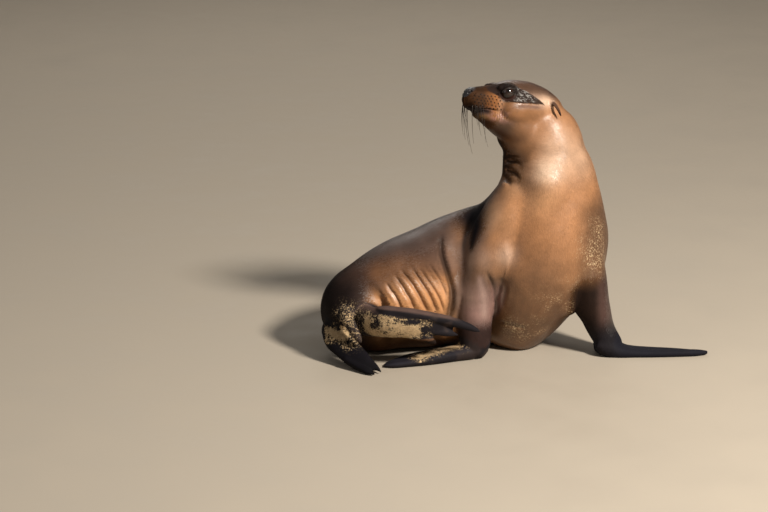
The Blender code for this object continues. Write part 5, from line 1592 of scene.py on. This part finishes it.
def dress(skin, p, n, dark, masks, bald):
    from mathutils.bvhtree import BVHTree
    graph = bpy.context.evaluated_depsgraph_get()
    tree = BVHTree.FromObject(skin, graph)
    uv = unwrap(skin)
    roots = Roots(skin.data, uv)
    tri_bald = bald[roots.tv].max(1)
    tri_sand = masks[:, 1][roots.tv].mean(1)
    mid = roots.mid
    mh = to_head(mid)
    hairy = np.clip(1 - 1.4 * tri_bald, 0, 1)
    for side in (1, -1):
        c, o, a, b = eye_axes(side)
        hairy *= np.where(np.linalg.norm(mid - c, axis=1) < EYE_R * 1.45, 0.0, 1.0)
    coat_mat = hide_material("sea_lion_coat", True)
    dark_coat = hide_material("sea_lion_dark_coat", True, True)

    # how deep in a crease the skin under a root lies, for the same markings on the coat, its painted crease shade among
    # them
    cell = 0.004
    keys = {}
    idx = np.nonzero(dark > 0.05)[0]
    for i in idx:
        k = tuple(np.floor(p[i] / cell).astype(int))
        keys[k] = max(keys.get(k, 0.0), float(dark[i]))

    def dark_at(q):
        g = np.floor(q / cell).astype(int)
        return np.array([keys.get((a, b, c), 0.0) for a, b, c in g])

    def length(q):
        hq = to_head(q)
        face = step(-0.02, 0.10, hq[:, 0]) * (q[:, 2] > 0.42)
        return (0.0062 - 0.0036 * face - 0.0010 * step(0.25, 0.05, q[:, 2])) * (1 - 0.45 * dark_at(q))

    def width(q):
        return 0.15 * length(q)

    def lift(q):
        return 0.012 + 0.012 * cloud(q, 25, 2, 61)

    pieces = []
    # one scatter over the whole animal, closer on the head, cut into bands along the body
    close = 1.0 + 0.9 * step(-0.13, -0.02, mh[:, 0]) * step(0.40, 0.46, mid[:, 2])
    rp, rn, ruv = roots.scatter(hairy * close * (mid[:, 2] > 0.004), COAT_TUFTS)
    rh = to_head(rp)
    spine = np.where(rp[:, 2] > 0.30, 1.0 - rp[:, 2], 1.2 - rp[:, 2] * 0.3 - rp[:, 0])
    spine = np.where((rh[:, 0] > -0.04) & (rp[:, 2] > 0.44), 0.40 - rh[:, 0], spine)
    order = np.argsort(spine, kind="stable")
    names = ["head", "nape", "neck", "breast", "chest", "shoulders", "flanks", "hips"]
    for name, ids in zip(names, np.array_split(order, len(names))):
        pieces.append(tufts("coat_" + name, rp[ids], rn[ids], ruv[ids], length, width, lift, coat_mat, dark_coat, dark_at))
    for piece in pieces:
        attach(piece, "root")

    eye_mat = eye_material()
    for name, side in (("left", 1), ("right", -1)):
        eye = make_eye("eyeball_" + name, side, eye_mat)
        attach(eye, "root")
        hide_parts("eye_" + name)
    lid_mat = plain_material("lid_edge", (0.010, 0.007, 0.006), (0.022, 0.013, 0.010), 900, 0.45, coat=0.1)
    rims = lid_rims(lid_mat)
    hair_mat = plain_material("whisker", (0.008, 0.005, 0.004), (0.022, 0.013, 0.008), 160, 0.45)
    root_mat = plain_material("whisker_root", (0.007, 0.004, 0.003), (0.022, 0.011, 0.006), 700, 0.80, specular=0.10)
    hairs, dots = whiskers(tree, hair_mat, root_mat)
    claw_mat = plain_material("claw", (0.008, 0.006, 0.005), (0.022, 0.015, 0.012), 350, 0.50, coat=0.0, specular=0.25)
    nails = claws(tree, claw_mat)
    sand_mat = plain_material("sand_grain", (0.24, 0.15, 0.07), (0.62, 0.47, 0.29), 650, 0.85)
    grains = grit(roots, tri_sand, 7000, sand_mat)
    for piece, kind in ((rims, "dark_skin"), (hairs, "dark_skin"), (dots, "dark_skin"), (nails, "dark_skin"), (grains, "flipper_skin")):
        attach(piece, "root")


def studio():
    floor_mat = plain_material("studio_floor", (0.375, 0.325, 0.262), (0.385, 0.333, 0.268), 6, 0.8, bump=0.0)
    floor = mesh_object("studio_floor", [(-30, -30, 0), (30, -30, 0), (30, 60, 0), (-30, 60, 0)], np.array([(0, 1, 2, 3)]), floor_mat, smooth=False)
    world = bpy.data.worlds.new("studio")
    bpy.context.scene.world = world
    bpy.context.scene.view_settings.view_transform = "Standard"
    world.use_nodes = True
    world.node_tree.nodes["Background"].inputs[0].default_value = (1.0, 0.95, 0.88, 1)
    world.node_tree.nodes["Background"].inputs[1].default_value = 0.17

    def panel(name, direction, distance, size, power, colour):
        light = bpy.data.lights.new(name, "AREA")
        light.shape, light.size, light.energy, light.color = "DISK", size, power, colour
        obj = bpy.data.objects.new(name, light)
        d = Vector(direction).normalized()
        obj.location = Vector((0, 0, 0.25)) + d * distance
        obj.rotation_mode = "QUATERNION"
        obj.rotation_quaternion = d.to_track_quat("Z", "Y")
        bpy.context.scene.collection.objects.link(obj)

    panel("key", (0.53, -0.56, 0.64), 4.2, 0.66, 330, (1.0, 0.94, 0.85))
    panel("fill", (-0.8, -0.4, 0.45), 4.5, 3.0, 12, (0.9, 0.95, 1.0))
    panel("back", (-0.1, 0.9, 0.6), 4.5, 2.5, 32, (1.0, 0.96, 0.9))

    tilt = math.radians(16.08875)
    right, up = Vector((1, 0, 0)), Vector((0, math.sin(tilt), math.cos(tilt)))
    ahead = Vector((0, math.cos(tilt), -math.sin(tilt)))
    camera = bpy.data.cameras.new("camera")
    camera.lens, camera.sensor_width, camera.clip_end = 132.04, 36.0, 100.0
    view = bpy.data.objects.new("camera", camera)
    bpy.context.scene.collection.objects.link(view)
    view.matrix_world = Matrix.Translation(Vector((-0.27498, -5.72271538, 1.855134))) @ Matrix((right, up, -ahead)).transposed().to_4x4()
    bpy.context.scene.camera = view


dress(*build())
studio()
